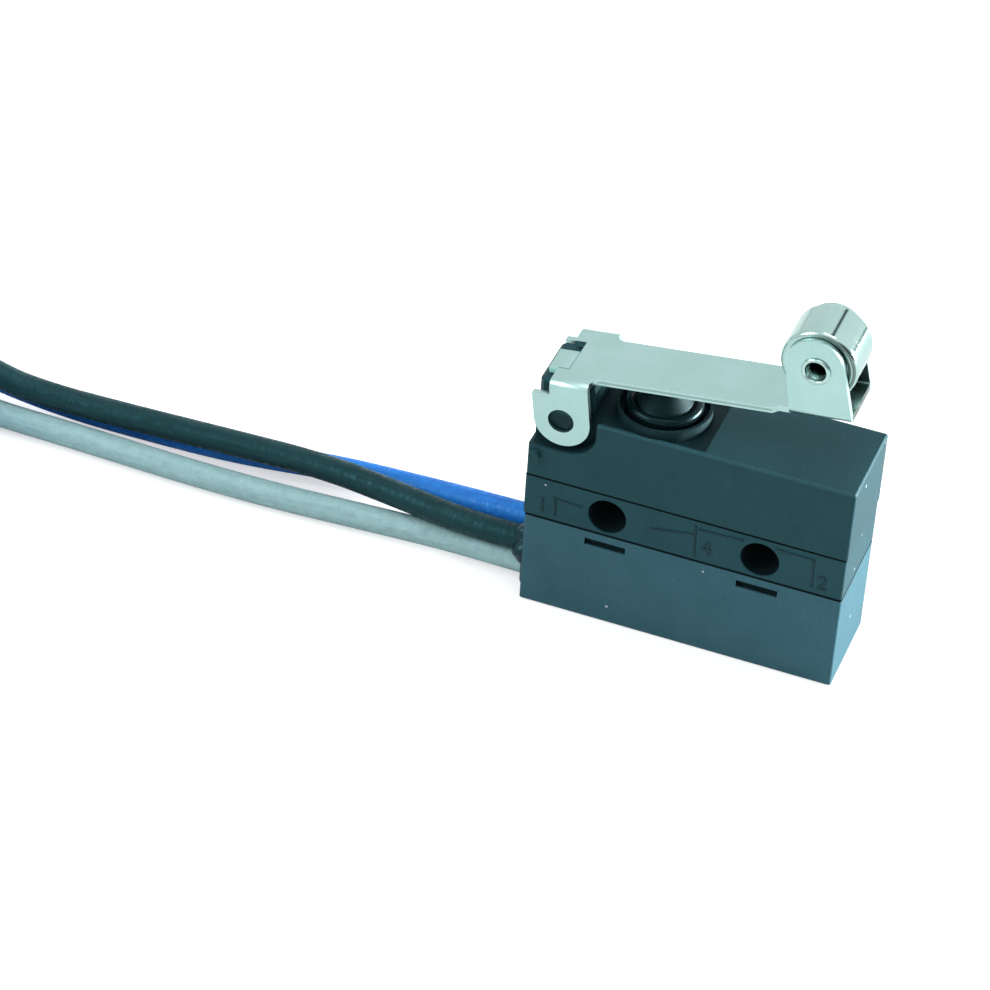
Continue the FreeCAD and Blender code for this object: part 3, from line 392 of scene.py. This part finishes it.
# Painted highlight: the paler colour laid along the upper rim, and how much of it
RIM_HIGHLIGHT_COLOUR = (0.05, 0.13, 0.16)
RIM_HIGHLIGHT_SHARE = 0.2
# Painted shade on the lever, the roller and the rivet
METAL_SHADE_COLOUR = (0.055, 0.066, 0.056)


def plastic(name, dark, pale, rough, specular, grain=9000.0, relief=0.25, dust=0.5,
            tint=(0.4, 0.92, 1.0), shaded=()):
    """A moulded plastic between two shades, with its grain in the gloss and the relief."""
    material, tree, shader = new_material(name)
    skin = use_group(tree, moulded_skin, Grain=grain, Dust=dust)
    colour = mixed(tree, ramp(tree, skin.outputs["Cloud"], [(0.35, 0.0), (0.68, 1.0)]), dark, pale)
    colour = mixed(tree, skin.outputs["Specks"], colour, DUST_COLOUR)
    # Painted shade: the chosen shade places are mixed towards the shade colour.
    if shaded:
        places = use_group(tree, shade_places)
        shade = 0.0
        for label, depth in shaded:
            shade = math_node(tree, "MAXIMUM", product(tree, places.outputs[label], depth), shade)
        colour = mixed(tree, shade, colour, SHADE_COLOUR)
        # Painted highlight along the upper rim, from the Rim mask.
        colour = mixed(tree, product(tree, places.outputs["Rim"], RIM_HIGHLIGHT_SHARE), colour, RIM_HIGHLIGHT_COLOUR)
    fleck = ramp(tree, skin.outputs["Height"], [(0.35, 0.82), (0.65, 1.0)])
    colour = blended(tree, "MULTIPLY", 1.0, colour, fleck)
    link(tree, colour, shader.inputs["Base Color"])
    low, high = rough
    gloss = ramp(tree, skin.outputs["Cloud"], [(0.3, low), (0.75, high)])
    if shaded:
        gloss = math_node(tree, "MAXIMUM", gloss, product(tree, shade, 0.95))
    link(tree, gloss, shader.inputs["Roughness"])
    shader.inputs["Specular IOR Level"].default_value = specular
    shader.inputs["Specular Tint"].default_value = (*tint, 1.0)
    bump(tree, shader, skin.outputs["Height"], relief, SKIN_RELIEF)
    return material


# Distance from the boot's axis, on a scale where the shining crest begins at 0.4
CREST_SCALE = 250.0


def boot(name):
    """Boot rubber: a dull dusty cone inside a moulded crest that shines."""
    material, tree, shader = new_material(name)
    skin = use_group(tree, moulded_skin, Grain=6000.0, Dust=1.0)
    along, across, height = place_parts(tree)
    reach = hypotenuse(tree, offset(tree, along, PLUNGER_X), across)
    crest = ramp(tree, product(tree, reach, CREST_SCALE), [(0.40, 0.0), (0.44, 1.0)])
    colour = mixed(tree, ramp(tree, skin.outputs["Cloud"], [(0.35, 0.0), (0.68, 1.0)]),
                   (0.0012, 0.004, 0.005), (0.003, 0.009, 0.011))
    link(tree, mixed(tree, skin.outputs["Specks"], colour, (0.6, 0.72, 0.72)), shader.inputs["Base Color"])
    gloss = mixed(tree, crest, (0.62, 0.62, 0.62), (0.24, 0.24, 0.24))
    link(tree, gloss, shader.inputs["Roughness"])
    shader.inputs["Specular Tint"].default_value = (0.25, 0.6, 0.65, 1.0)
    shader.inputs["Specular IOR Level"].default_value = 0.35
    bump(tree, shader, skin.outputs["Height"], 0.1, SKIN_RELIEF)
    return material


def metal(name, dark, pale, rough, relief=0.12, painted_shade=None, turned=False):
    """A metal with rolled lines, clouded gloss and a few scratches."""
    material, tree, shader = new_material(name)
    sheet = use_group(tree, sheet_metal)
    colour = mixed(tree, ramp(tree, sheet.outputs["Cloud"], [(0.35, 0.0), (0.7, 1.0)]), dark, pale)
    # Painted shade: the colour goes towards the metal shade colour where the given mask says.
    if painted_shade:
        colour = mixed(tree, painted_shade(tree), colour, METAL_SHADE_COLOUR)
    link(tree, colour, shader.inputs["Base Color"])
    shader.inputs["Metallic"].default_value = 1.0
    low, high = rough
    lines = sheet.outputs["Lines"]
    if turned:
        lines = noise(tree, place_coordinates(tree), 1.0, 3.0, 0.7, (150.0, 14000.0, 150.0))
    worn = math_node(tree, "ADD", lines, sheet.outputs["Scratches"])
    link(tree, ramp(tree, worn, [(0.25, low), (0.9, high)]), shader.inputs["Roughness"])
    bump(tree, shader, worn, relief, SHEET_RELIEF)
    return material


# Painted shade on the lever, the roller and the rivet: the bracket's inner faces, the roller's side
# faces, and the middle of the sheet's cut edge along the arm. The last three turn metres into the
# range of their noise or ramp.
BRACKET_INSIDE = 1.69
BRACKET_LEFT = 5.5
ROLLER_SIDE = 1.55
LEVER_TILT = 7.3
PIVOT = (-8.104, 13.966)
SHEET_MIDDLE = 2.491
SHEET_CORE = 0.075
ARM_HALF = 2.065
ARM_UNDER = 0.02
ARM_OVER = 0.05
BAND_SHARE = 0.4
SHADE_RINGS = 4200.0
SHADE_SPREAD = 250.0
MOUTH_SCALE = 1000.0


def lever_painted_shade(tree):
    """Painted shade in patches inside the bracket, and a darker painted band along the cut edges."""
    along, across, height = place_parts(tree)
    from_centre = absolute(tree, across)
    bracket = product(tree, below(tree, from_centre, BRACKET_INSIDE), above(tree, along, BRACKET_LEFT))
    patch = ramp(tree, noise(tree, place_coordinates(tree), 700.0, 4.0), [(0.3, 0.6), (0.6, 0.92)])
    bracket_shade = product(tree, bracket, patch)
    tilt = math.radians(LEVER_TILT)
    middle = SHEET_MIDDLE + PIVOT[1] * math.cos(tilt) - PIVOT[0] * math.sin(tilt)
    level = math_node(tree, "MULTIPLY_ADD", along, -math.sin(tilt), -middle * MM)
    across_sheet = math_node(tree, "MULTIPLY_ADD", height, math.cos(tilt), level)
    in_core = below(tree, absolute(tree, across_sheet), SHEET_CORE)
    at_edge = above(tree, from_centre, ARM_HALF - ARM_UNDER)
    on_arm = below(tree, from_centre, ARM_HALF + ARM_OVER)
    # Painted shade: a darker band along the middle of the arm's cut edge.
    band = product(tree, product(tree, in_core, at_edge), on_arm)
    return math_node(tree, "MAXIMUM", bracket_shade, product(tree, band, BAND_SHARE))


def from_roller_axis(tree, along, height):
    return hypotenuse(tree, offset(tree, along, ROLLER_X), offset(tree, height, ROLLER_Z))


def roller_painted_shade(tree):
    """Painted shade in turned rings on the roller's side faces, darker towards the right."""
    along, across, height = place_parts(tree)
    side = above(tree, absolute(tree, across), ROLLER_SIDE)
    rings = tree.nodes.new("ShaderNodeTexNoise")
    rings.noise_dimensions = "1D"
    rings.inputs["Scale"].default_value = SHADE_RINGS
    rings.inputs["Detail"].default_value = 2.0
    link(tree, from_roller_axis(tree, along, height), rings.inputs["W"])
    ring_shade = ramp(tree, rings.outputs["Fac"], [(0.38, 0.25), (0.55, 0.95)])
    spread = math_node(tree, "MULTIPLY_ADD", along, SHADE_SPREAD, 0.5 - ROLLER_X * MM * SHADE_SPREAD)
    right = ramp(tree, spread, [(0.3, 0.1), (0.5, 0.75), (0.6, 1.0)])
    return product(tree, product(tree, side, ring_shade), right)


def rivet_painted_shade(tree):
    """Painted shade in patches in the rivet's mouth."""
    along, across, height = place_parts(tree)
    reach = product(tree, from_roller_axis(tree, along, height), MOUTH_SCALE)
    inner = ramp(tree, reach, [(0.45, 0.9), (0.6, 0.25), (0.66, 0.0)])
    patch = ramp(tree, noise(tree, place_coordinates(tree), 1800.0, 3.0), [(0.35, 0.3), (0.6, 1.0)])
    return product(tree, inner, patch)


# Materials

# Painted shade in the grooves, holes, openings, sunk floors and round the collar, by the shaded entries
housing_plastic = plastic("housing_plastic", (0.030, 0.092, 0.120), (0.038, 0.106, 0.139),
                          (0.46, 0.6), 0.3, shaded=(("Groove", 1.0), ("Inside", 0.85)))
base_plastic = plastic("base_plastic", (0.010, 0.044, 0.056), (0.015, 0.054, 0.069), (0.46, 0.6), 0.3,
                       shaded=(("Groove", 1.0), ("Hole", 1.0), ("Inside", 0.9)))
cap_plastic = plastic("cap_plastic", (0.010, 0.042, 0.052), (0.014, 0.050, 0.063), (0.44, 0.6), 0.28,
                      shaded=(("Groove", 1.0), ("Sunk", 0.6), ("Collar", 0.7)))
# Painted shade: the diagram's relief is coloured darker than the shell around it.
shaded_mark_plastic = plastic("shaded_mark_plastic", (0.003, 0.014, 0.019), (0.005, 0.019, 0.026), (0.3, 0.42), 0.45,
                       dust=0.0)
inner_plastic = plastic("inner_plastic", (0.62, 0.60, 0.52), (0.70, 0.68, 0.60), (0.4, 0.5), 0.4,
                        dust=0.0)
guide_plastic = plastic("guide_plastic", (0.02, 0.02, 0.022), (0.03, 0.03, 0.033), (0.4, 0.5), 0.4,
                        dust=0.0)
boot_rubber = boot("boot_rubber")
gasket_rubber = plastic("gasket_rubber", (0.01, 0.01, 0.012), (0.02, 0.02, 0.022), (0.6, 0.7), 0.3,
                        dust=0.0)
resin = plastic("resin", (0.003, 0.014, 0.024), (0.008, 0.028, 0.042), (0.26, 0.42), 0.4,
                grain=2500.0, relief=0.6, dust=0.6)
tie_plastic = plastic("tie_plastic", (0.012, 0.020, 0.024), (0.02, 0.03, 0.034), (0.4, 0.55), 0.35)
lever_steel = metal("lever_steel", (0.43, 0.665, 0.635), (0.48, 0.71, 0.70), (0.26, 0.36),
                    painted_shade=lever_painted_shade)
roller_steel = metal("roller_steel", (0.46, 0.68, 0.64), (0.50, 0.71, 0.68), (0.06, 0.16), 0.1,
                     painted_shade=roller_painted_shade, turned=True)
rivet_steel = metal("rivet_steel", (0.46, 0.66, 0.63), (0.54, 0.74, 0.71), (0.14, 0.24),
                    painted_shade=rivet_painted_shade)
terminal_brass = metal("terminal_brass", (0.62, 0.45, 0.18), (0.74, 0.56, 0.26), (0.25, 0.4))
contact_silver = metal("contact_silver", (0.70, 0.70, 0.68), (0.8, 0.8, 0.78), (0.2, 0.35))
blade_copper = metal("blade_copper", (0.64, 0.34, 0.18), (0.75, 0.43, 0.25), (0.25, 0.4))
spring_wire = metal("spring_wire", (0.5, 0.52, 0.53), (0.62, 0.64, 0.65), (0.2, 0.35))
tinned_wire = metal("tinned_wire", (0.6, 0.62, 0.62), (0.74, 0.76, 0.76), (0.2, 0.4))
solder_metal = metal("solder_metal", (0.5, 0.52, 0.54), (0.66, 0.68, 0.69), (0.2, 0.4))


def insulation(name, dark, pale, specular, tint=(0.5, 0.9, 1.0)):
    """Extruded lead insulation: broken rings across it, long streaks, mottling and a soft gloss."""
    material, tree, shader = new_material(name)
    along = tree.nodes.new("ShaderNodeTexCoord").outputs["UV"]
    rings = noise(tree, along, 1.0, 2.0, 0.6, (850.0, 5.0, 1.0))
    streaks = noise(tree, along, 1.0, 4.0, 0.6, (60.0, 14.0, 1.0))
    colour = mixed(tree, ramp(tree, streaks, [(0.3, 0.0), (0.7, 1.0)]), dark, pale)
    mottle = noise(tree, along, 1.0, 3.0, 0.65, (420.0, 9.0, 1.0))
    colour = blended(tree, "MULTIPLY", 1.0, colour, ramp(tree, mottle, [(0.3, 0.84), (0.62, 1.0)]))
    link(tree, colour, shader.inputs["Base Color"])
    link(tree, ramp(tree, rings, [(0.38, 0.32), (0.62, 0.62)]), shader.inputs["Roughness"])
    shader.inputs["Specular IOR Level"].default_value = specular
    shader.inputs["Specular Tint"].default_value = (*tint, 1.0)
    broken = ramp(tree, noise(tree, along, 1.0, 2.0, 0.5, (190.0, 5.0, 1.0)), [(0.42, 0.2), (0.6, 1.0)])
    bump(tree, shader, product(tree, rings, broken), 0.6, RIDGE_RELIEF)
    return material


grey_insulation = insulation("grey_insulation", (0.25, 0.41, 0.43), (0.31, 0.49, 0.51), 0.35)
black_insulation = insulation("black_insulation", (0.006, 0.022, 0.026), (0.014, 0.040, 0.046), 0.3,
                              tint=(0.2, 0.8, 0.9))
blue_insulation = insulation("blue_insulation", (0.010, 0.13, 0.50), (0.018, 0.20, 0.66), 0.35)

# Look of each solid, and the width of its rounded edges

NODE_LOOKS = {
    "terminal_housing": (housing_plastic, 0.05),
    "switch_base": (base_plastic, 0.05),
    "upper_cap": (cap_plastic, 0.05),
    "cap_gasket": (gasket_rubber, 0),
    "plunger_guide": (guide_plastic, 0),
    "plunger": (inner_plastic, 0),
    "actuator_lever": (lever_steel, 0.09),
    "roller": (roller_steel, 0),
    "roller_rivet": (rivet_steel, 0.05),
    "common_terminal": (terminal_brass, 0),
    "normally_open_terminal": (terminal_brass, 0),
    "normally_closed_terminal": (terminal_brass, 0),
    "lower_contact": (contact_silver, 0),
    "upper_contact": (contact_silver, 0),
    "moving_contact": (contact_silver, 0),
    "moving_blade": (blade_copper, 0),
    "snap_spring": (blade_copper, 0),
    "return_spring": (spring_wire, 0),
    "black_conductor": (tinned_wire, 0),
    "blue_conductor": (tinned_wire, 0),
    "grey_conductor": (tinned_wire, 0),
    "black_solder": (solder_metal, 0),
    "blue_solder": (solder_metal, 0),
    "grey_solder": (solder_metal, 0),
    "potting_resin": (resin, 0.05),
    "hank_tie": (tie_plastic, 0.05),
    "black_lead_end": (tinned_wire, 0.1),
    "blue_lead_end": (tinned_wire, 0.1),
    "grey_lead_end": (tinned_wire, 0.1),
    "sealing_boot": (boot_rubber, 0),
}
for node_name, (look, edge) in NODE_LOOKS.items():
    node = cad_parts[node_name]
    for place in node.material_slots:
        place.material = look
    if not node.material_slots:
        node.data.materials.append(look)
    if edge:
        finish_edges(node, edge)


# Boot and return spring: soft copies of their solids


def make_soft_copy(name, node_name, look):
    """A merged copy of a solid's mesh, on the switch, in place of the hidden solid."""
    form = bmesh.new()
    form.from_mesh(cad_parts[node_name].data)
    bmesh.ops.remove_doubles(form, verts=form.verts, dist=NEAR_CAD)
    for edge in form.edges:
        edge.smooth = edge.calc_face_angle(0.0) < math.radians(SHARP_TURN)
    piece = add_piece(name, mesh_from(form, name), look, "switch")
    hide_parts(node_name)
    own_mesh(piece)


make_soft_copy("boot_skin", "sealing_boot", boot_rubber)
make_soft_copy("return_coil", "return_spring", spring_wire)


# Leads: one smooth curve each, along the CAD route and then round its hank

GREY_ROUTE = [
    (6.8, -1.3, 1.35), (3.2, -1.26, 1.36), (-0.4, -1.31, 1.35), (-4.0, -1.27, 1.36),
    (-7.6, -1.3, 1.35), (-11.6, -1.2, 1.3), (-15.6, -0.77, 0.96), (-21.0, -0.97, 0.86),
    (-27.5, -1.37, 0.85), (-34.0, -1.36, 0.86), (-40.5, -1.08, 0.85), (-47.6, -1.0, 0.88),
    (-50.7, -0.1, 1.32),
]
BLACK_ROUTE = [
    (-7.6, -1.35, 3.08), (-11.4, -1.4, 3.05), (-15.0, -0.95, 2.76), (-19.2, 0.1, 2.43),
    (-24.6, 1.0, 2.3), (-31.0, 0.8, 2.27), (-37.5, 0.5, 2.28), (-43.0, 0.34, 2.3),
    (-46.6, 0.17, 2.85), (-51.6, 0.43, 4.85),
]
BLUE_ROUTE = [
    (-1.2, 0.65, 3.2), (-4.6, 0.7, 3.21), (-8.0, 0.63, 3.2), (-11.6, 0.68, 3.1),
    (-15.4, 1.5, 2.35), (-19.6, 2.6, 1.28), (-24.6, 2.8, 0.86), (-30.8, 1.78, 0.85),
    (-37.2, 1.55, 0.86), (-42.0, 1.55, 0.87), (-46.7, 1.5, 1.4), (-52.2, 0.95, 3.17),
]
LEAD_DIAMETER = 1.65
HANK_Y = -7.85
HANK_NEAR = -56.9
HANK_FAR = -81.9
HANK_RADII = (8.25, 6.6, 4.95)
LEAD_END_X = -64.0
LEAD_END_Y = -11.15
END_START = 4.0
END_LEVEL = 10.0
END_SAG = 0.2


def hank_points(z):
    """Control points of three folded turns, each inside the last, and the lead's end in the slot."""
    points = []
    swell = 1 / math.cos(math.pi / 8)
    for turn, radius in enumerate(HANK_RADII):
        for share in (0.25, 0.75):
            points.append((HANK_NEAR + (HANK_FAR - HANK_NEAR) * share, HANK_Y + radius, z))
        for step in range(4):
            angle = math.radians(112.5 + 45 * step)
            points.append((HANK_FAR + radius * swell * math.cos(angle),
                           HANK_Y + radius * swell * math.sin(angle), z))
        if turn == 2:
            break
        for share in (0.25, 0.75):
            points.append((HANK_FAR + (HANK_NEAR - HANK_FAR) * share, HANK_Y - radius, z))
        inner = HANK_RADII[turn + 1]
        middle = (radius + inner) / 2
        shift = (inner - radius) / 2
        for step in range(4):
            angle = math.radians(-67.5 + 45 * step)
            points.append((HANK_NEAR + middle * swell * math.cos(angle),
                           HANK_Y + shift + middle * swell * math.sin(angle), z))
    points.append((HANK_FAR + END_START, HANK_Y - inner, z))
    points.append((HANK_FAR + END_LEVEL, LEAD_END_Y - END_SAG, z))
    points.append((LEAD_END_X, LEAD_END_Y, z))
    return points


def make_lead(name, route, layer_z, material, colour):
    """One lead as a cord, from its solder joint to its stripped end."""
    points = route + hank_points(layer_z)
    curve = bpy.data.curves.new(name, "CURVE")
    curve.dimensions = "3D"
    curve.bevel_depth = LEAD_DIAMETER / 2 * MM
    curve.bevel_resolution = 6
    curve.use_fill_caps = True
    curve.resolution_u = 14
    spline = curve.splines.new("NURBS")
    spline.points.add(len(points) - 1)
    for target, point in zip(spline.points, points):
        target.co = (*mm(*point), 1.0)
    spline.order_u = 3
    spline.use_endpoint_u = True
    curve.materials.append(material)
    lead = bpy.data.objects.new(name, curve)
    scene.collection.objects.link(lead)
    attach(lead, "switch")
    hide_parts(colour + "_lead", colour + "_hank")
    return lead


make_lead("grey_lead_cord", GREY_ROUTE, 1.455, grey_insulation, "grey")
make_lead("blue_lead_cord", BLUE_ROUTE, 3.155, blue_insulation, "blue")
make_lead("black_lead_cord", BLACK_ROUTE, 4.855, black_insulation, "black")


# Relief on the front face: the contact diagram and the terminal numbers

MARK_RISE = 0.06
MARK_SINK = 0.02
MARK_WIDTH = 0.12
MARK_EDGE = 0.025
MARK_CORNER = 0.6
NUMBER_HEIGHT = 1.0
DIAGRAM_LINES = (
    ((-8.03, 8.32), (-8.01, 7.10)), ((-8.07, 8.31), (-6.41, 8.22)),
    ((-2.0, 8.07), (0.52, 8.51)), ((0.69, 9.12), (0.76, 6.95)), ((0.98, 8.97), (3.63, 9.07)),
    ((5.74, 9.11), (8.02, 9.06)), ((7.97, 9.10), (8.0, 7.08)),
)
NUMBERS = (("1", -8.9, 7.09), ("4", 1.1, 7.25), ("2", 8.3, 7.03))


def lay_on_front(form, x, z):
    """Turns a flat form drawn in X and Y to stand on the front face, its foot just under the skin."""
    turn = Matrix.Rotation(math.radians(90), 4, "X")
    spot = Matrix.Translation(mm(x, -HALF_WIDTH + MARK_SINK, z))
    bmesh.ops.transform(form, matrix=spot @ turn, verts=form.verts)


def soften_top(form):
    """Bevels the edges at a low relief's top that turn by more than MARK_CORNER, in radians."""
    edges = [e for e in form.edges if e.is_manifold and e.calc_face_angle(0.0) > MARK_CORNER
             and all(v.co.z > (MARK_RISE * 0.5) * MM for v in e.verts)]
    bmesh.ops.bevel(form, geom=edges, offset=MARK_EDGE * MM, affect="EDGES", segments=2, profile=0.5,
                    material=-1)


def bar_form(start, end):
    """A low straight bar from one point of the face to another."""
    run = Vector(end) - Vector(start)
    form = bmesh.new()
    tall = MARK_RISE + MARK_SINK
    size = Matrix.Diagonal((*mm(run.length + MARK_WIDTH, MARK_WIDTH, tall), 1.0))
    bmesh.ops.create_cube(form, size=1.0, matrix=Matrix.Translation(mm(0, 0, tall / 2)) @ size)
    soften_top(form)
    middle = (Vector(start) + Vector(end)) / 2
    turn = Matrix.Rotation(math.atan2(run.y, run.x), 4, "Z")
    bmesh.ops.transform(form, matrix=turn, verts=form.verts)
    lay_on_front(form, middle.x, middle.y)
    return form


def number_form(text, x, z):
    """A raised number whose lower left corner is at x and z."""
    letters = bpy.data.curves.new("number", "FONT")
    letters.body = text
    letters.size = 1.0
    letters.extrude = 0.5
    holder = bpy.data.objects.new("number", letters)
    mesh = bpy.data.meshes.new_from_object(holder)
    bpy.data.objects.remove(holder)
    form = bmesh.new()
    form.from_mesh(mesh)
    bpy.data.meshes.remove(mesh)
    bmesh.ops.remove_doubles(form, verts=form.verts, dist=NEAR_LETTER)
    low = Vector([min(v.co[axis] for v in form.verts) for axis in range(3)])
    high = Vector([max(v.co[axis] for v in form.verts) for axis in range(3)])
    grow = NUMBER_HEIGHT * MM / (high.y - low.y)
    size = Matrix.Diagonal((grow, grow, (MARK_RISE + MARK_SINK) * MM, 1.0))
    bmesh.ops.transform(form, matrix=size @ Matrix.Translation(-low), verts=form.verts)
    lay_on_front(form, x, z)
    return form


def make_diagram():
    """The lines and the numbers as one piece."""
    whole = bmesh.new()
    forms = [bar_form(start, end) for start, end in DIAGRAM_LINES]
    forms += [number_form(*row) for row in NUMBERS]
    for form in forms:
        bmesh.ops.recalc_face_normals(form, faces=form.faces)
        mesh = bpy.data.meshes.new("mark")
        form.to_mesh(mesh)
        form.free()
        whole.from_mesh(mesh)
        bpy.data.meshes.remove(mesh)
    mesh = bpy.data.meshes.new("contact_diagram")
    whole.to_mesh(mesh)
    whole.free()
    add_piece("contact_diagram", mesh, shaded_mark_plastic, "switch")


make_diagram()


# Resin that wells up round the black lead where it leaves the shell

LUMP_MIDDLE = (-10.1, -1.42, 2.95)
LUMP_REACH = (1.0, 1.3, 1.25)
LUMP_WAVES = ((0.08, (0.0, 4.1, 2.7), 0.0), (0.06, (-3.2, 0.0, 6.3), 0.0), (0.03, (0.0, 11.0, 0.0), 5.0))


def make_resin_lump():
    """A ball set to its three reaches, with uneven swells: each wave's height, way and start."""
    form = bmesh.new()
    bmesh.ops.create_icosphere(form, subdivisions=4, radius=1.0)
    for corner in form.verts:
        swells = [high * math.sin(corner.co.dot(Vector(way)) + start) for high, way, start in LUMP_WAVES]
        corner.co *= 1.0 + sum(swells)
    size = Matrix.Diagonal((*mm(*LUMP_REACH), 1.0))
    bmesh.ops.transform(form, matrix=Matrix.Translation(mm(*LUMP_MIDDLE)) @ size, verts=form.verts)
    add_piece("resin_lump", mesh_from(form, "resin_lump"), resin, "switch")


make_resin_lump()


# Floor, world and lamps, in metres; each lamp has its name, place, size and power

FLOOR_HALF = 3.0
FLOOR_DROP = 0.00002
FLOOR_COLOUR = (0.62, 0.63, 0.63, 1.0)
FLOOR_LIFT = 0.5
TENT_ACROSS = [(0.0, 0.8), (0.28, 0.86), (0.5, 0.95), (0.8, 1.0)]
TENT_DARK = (0.03, 0.05, 0.05)
SEAM_LEAN = 0.182
SEAM_WIDTH = 0.1
SEAM_FOOT = 0.02
HORIZON = [(0.0, 0.3), (0.05, 0.3), (0.07, 1.0)]
HORIZON_LEFT = 0.3
DIM_CORNER = (0.745, -0.617, 0.239)
DIM_REACH = [(0.0, 1.0), (0.8, 1.0), (0.93, 0.12), (1.0, 0.12)]
LAMP_AIM = (-0.01, 0.0, 0.008)
LAMPS = (
    ("left_softbox", (-0.35, -0.27, 0.34), (0.3, 0.25), 1.2),
    ("top_softbox", (0.05, 0.0, 0.55), (0.35, 0.3), 0.6),
    ("right_softbox", (0.46, 0.24, 0.035), (0.3, 0.2), 17.0),
)


def make_floor():
    """A pale matt floor that the camera sees lifted to white."""
    form = bmesh.new()
    bmesh.ops.create_grid(form, x_segments=1, y_segments=1, size=FLOOR_HALF)
    material, tree, shader = new_material("floor_white")
    shader.inputs["Base Color"].default_value = FLOOR_COLOUR
    shader.inputs["Roughness"].default_value = 0.9
    shader.inputs["Specular IOR Level"].default_value = 0.0
    rays = tree.nodes.new("ShaderNodeLightPath")
    lift = product(tree, rays.outputs["Is Camera Ray"], FLOOR_LIFT)
    link(tree, lift, shader.inputs["Emission Strength"])
    shader.inputs["Emission Color"].default_value = (1.0, 1.0, 1.0, 1.0)
    mesh = mesh_from(form, "floor")
    floor = bpy.data.objects.new("floor", mesh)
    mesh.materials.append(material)
    floor.location = (0, 0, -FLOOR_DROP)
    scene.collection.objects.link(floor)


def make_world():
    """A light tent: brighter on the right, a dark seam behind, a dim horizon and a dim front corner."""
    world = bpy.data.worlds.new("studio")
    scene.world = world
    world.use_nodes = True
    tree = world.node_tree
    back = tree.nodes["Background"]
    rays = tree.nodes.new("ShaderNodeLightPath")
    way = tree.nodes.new("ShaderNodeTexCoord").outputs["Generated"]
    along, across, height = place_parts(tree, way)
    sky = ramp(tree, math_node(tree, "MULTIPLY_ADD", along, 0.5, 0.5), TENT_ACROSS)
    lean = math_node(tree, "DIVIDE", along, math_node(tree, "MAXIMUM", height, SEAM_FOOT))
    off = absolute(tree, math_node(tree, "SUBTRACT", lean, SEAM_LEAN))
    seam = ramp(tree, off, [(0.0, 0.0), (SEAM_WIDTH * 0.5, 0.1), (SEAM_WIDTH, 1.0)])
    behind = math_node(tree, "GREATER_THAN", across, 0.0)
    keep = math_node(tree, "MAXIMUM", seam, math_node(tree, "SUBTRACT", 1.0, behind))
    low_line = ramp(tree, absolute(tree, height), HORIZON)
    left = math_node(tree, "LESS_THAN", along, HORIZON_LEFT)
    keep = product(tree, keep, math_node(tree, "MAXIMUM", low_line, left))
    aim = tree.nodes.new("ShaderNodeVectorMath")
    aim.operation = "DOT_PRODUCT"
    link(tree, way, aim.inputs[0])
    aim.inputs[1].default_value = DIM_CORNER
    shade = product(tree, keep, ramp(tree, aim.outputs["Value"], DIM_REACH))
    lit = mixed(tree, shade, TENT_DARK, sky)
    colour = mixed(tree, rays.outputs["Is Camera Ray"], lit, (1.0, 1.0, 1.0))
    link(tree, colour, back.inputs["Color"])
    back.inputs["Strength"].default_value = 1.0


def add_lamp(name, place, size, power):
    """A softbox turned to the switch."""
    data = bpy.data.lights.new(name, "AREA")
    data.shape = "RECTANGLE"
    data.size, data.size_y = size
    data.energy = power
    lamp = bpy.data.objects.new(name, data)
    lamp.location = place
    aim = Vector(LAMP_AIM) - Vector(place)
    lamp.rotation_euler = aim.to_track_quat("-Z", "Y").to_euler()
    scene.collection.objects.link(lamp)


make_floor()
make_world()
for lamp_row in LAMPS:
    add_lamp(*lamp_row)

scene.view_settings.view_transform = "Standard"
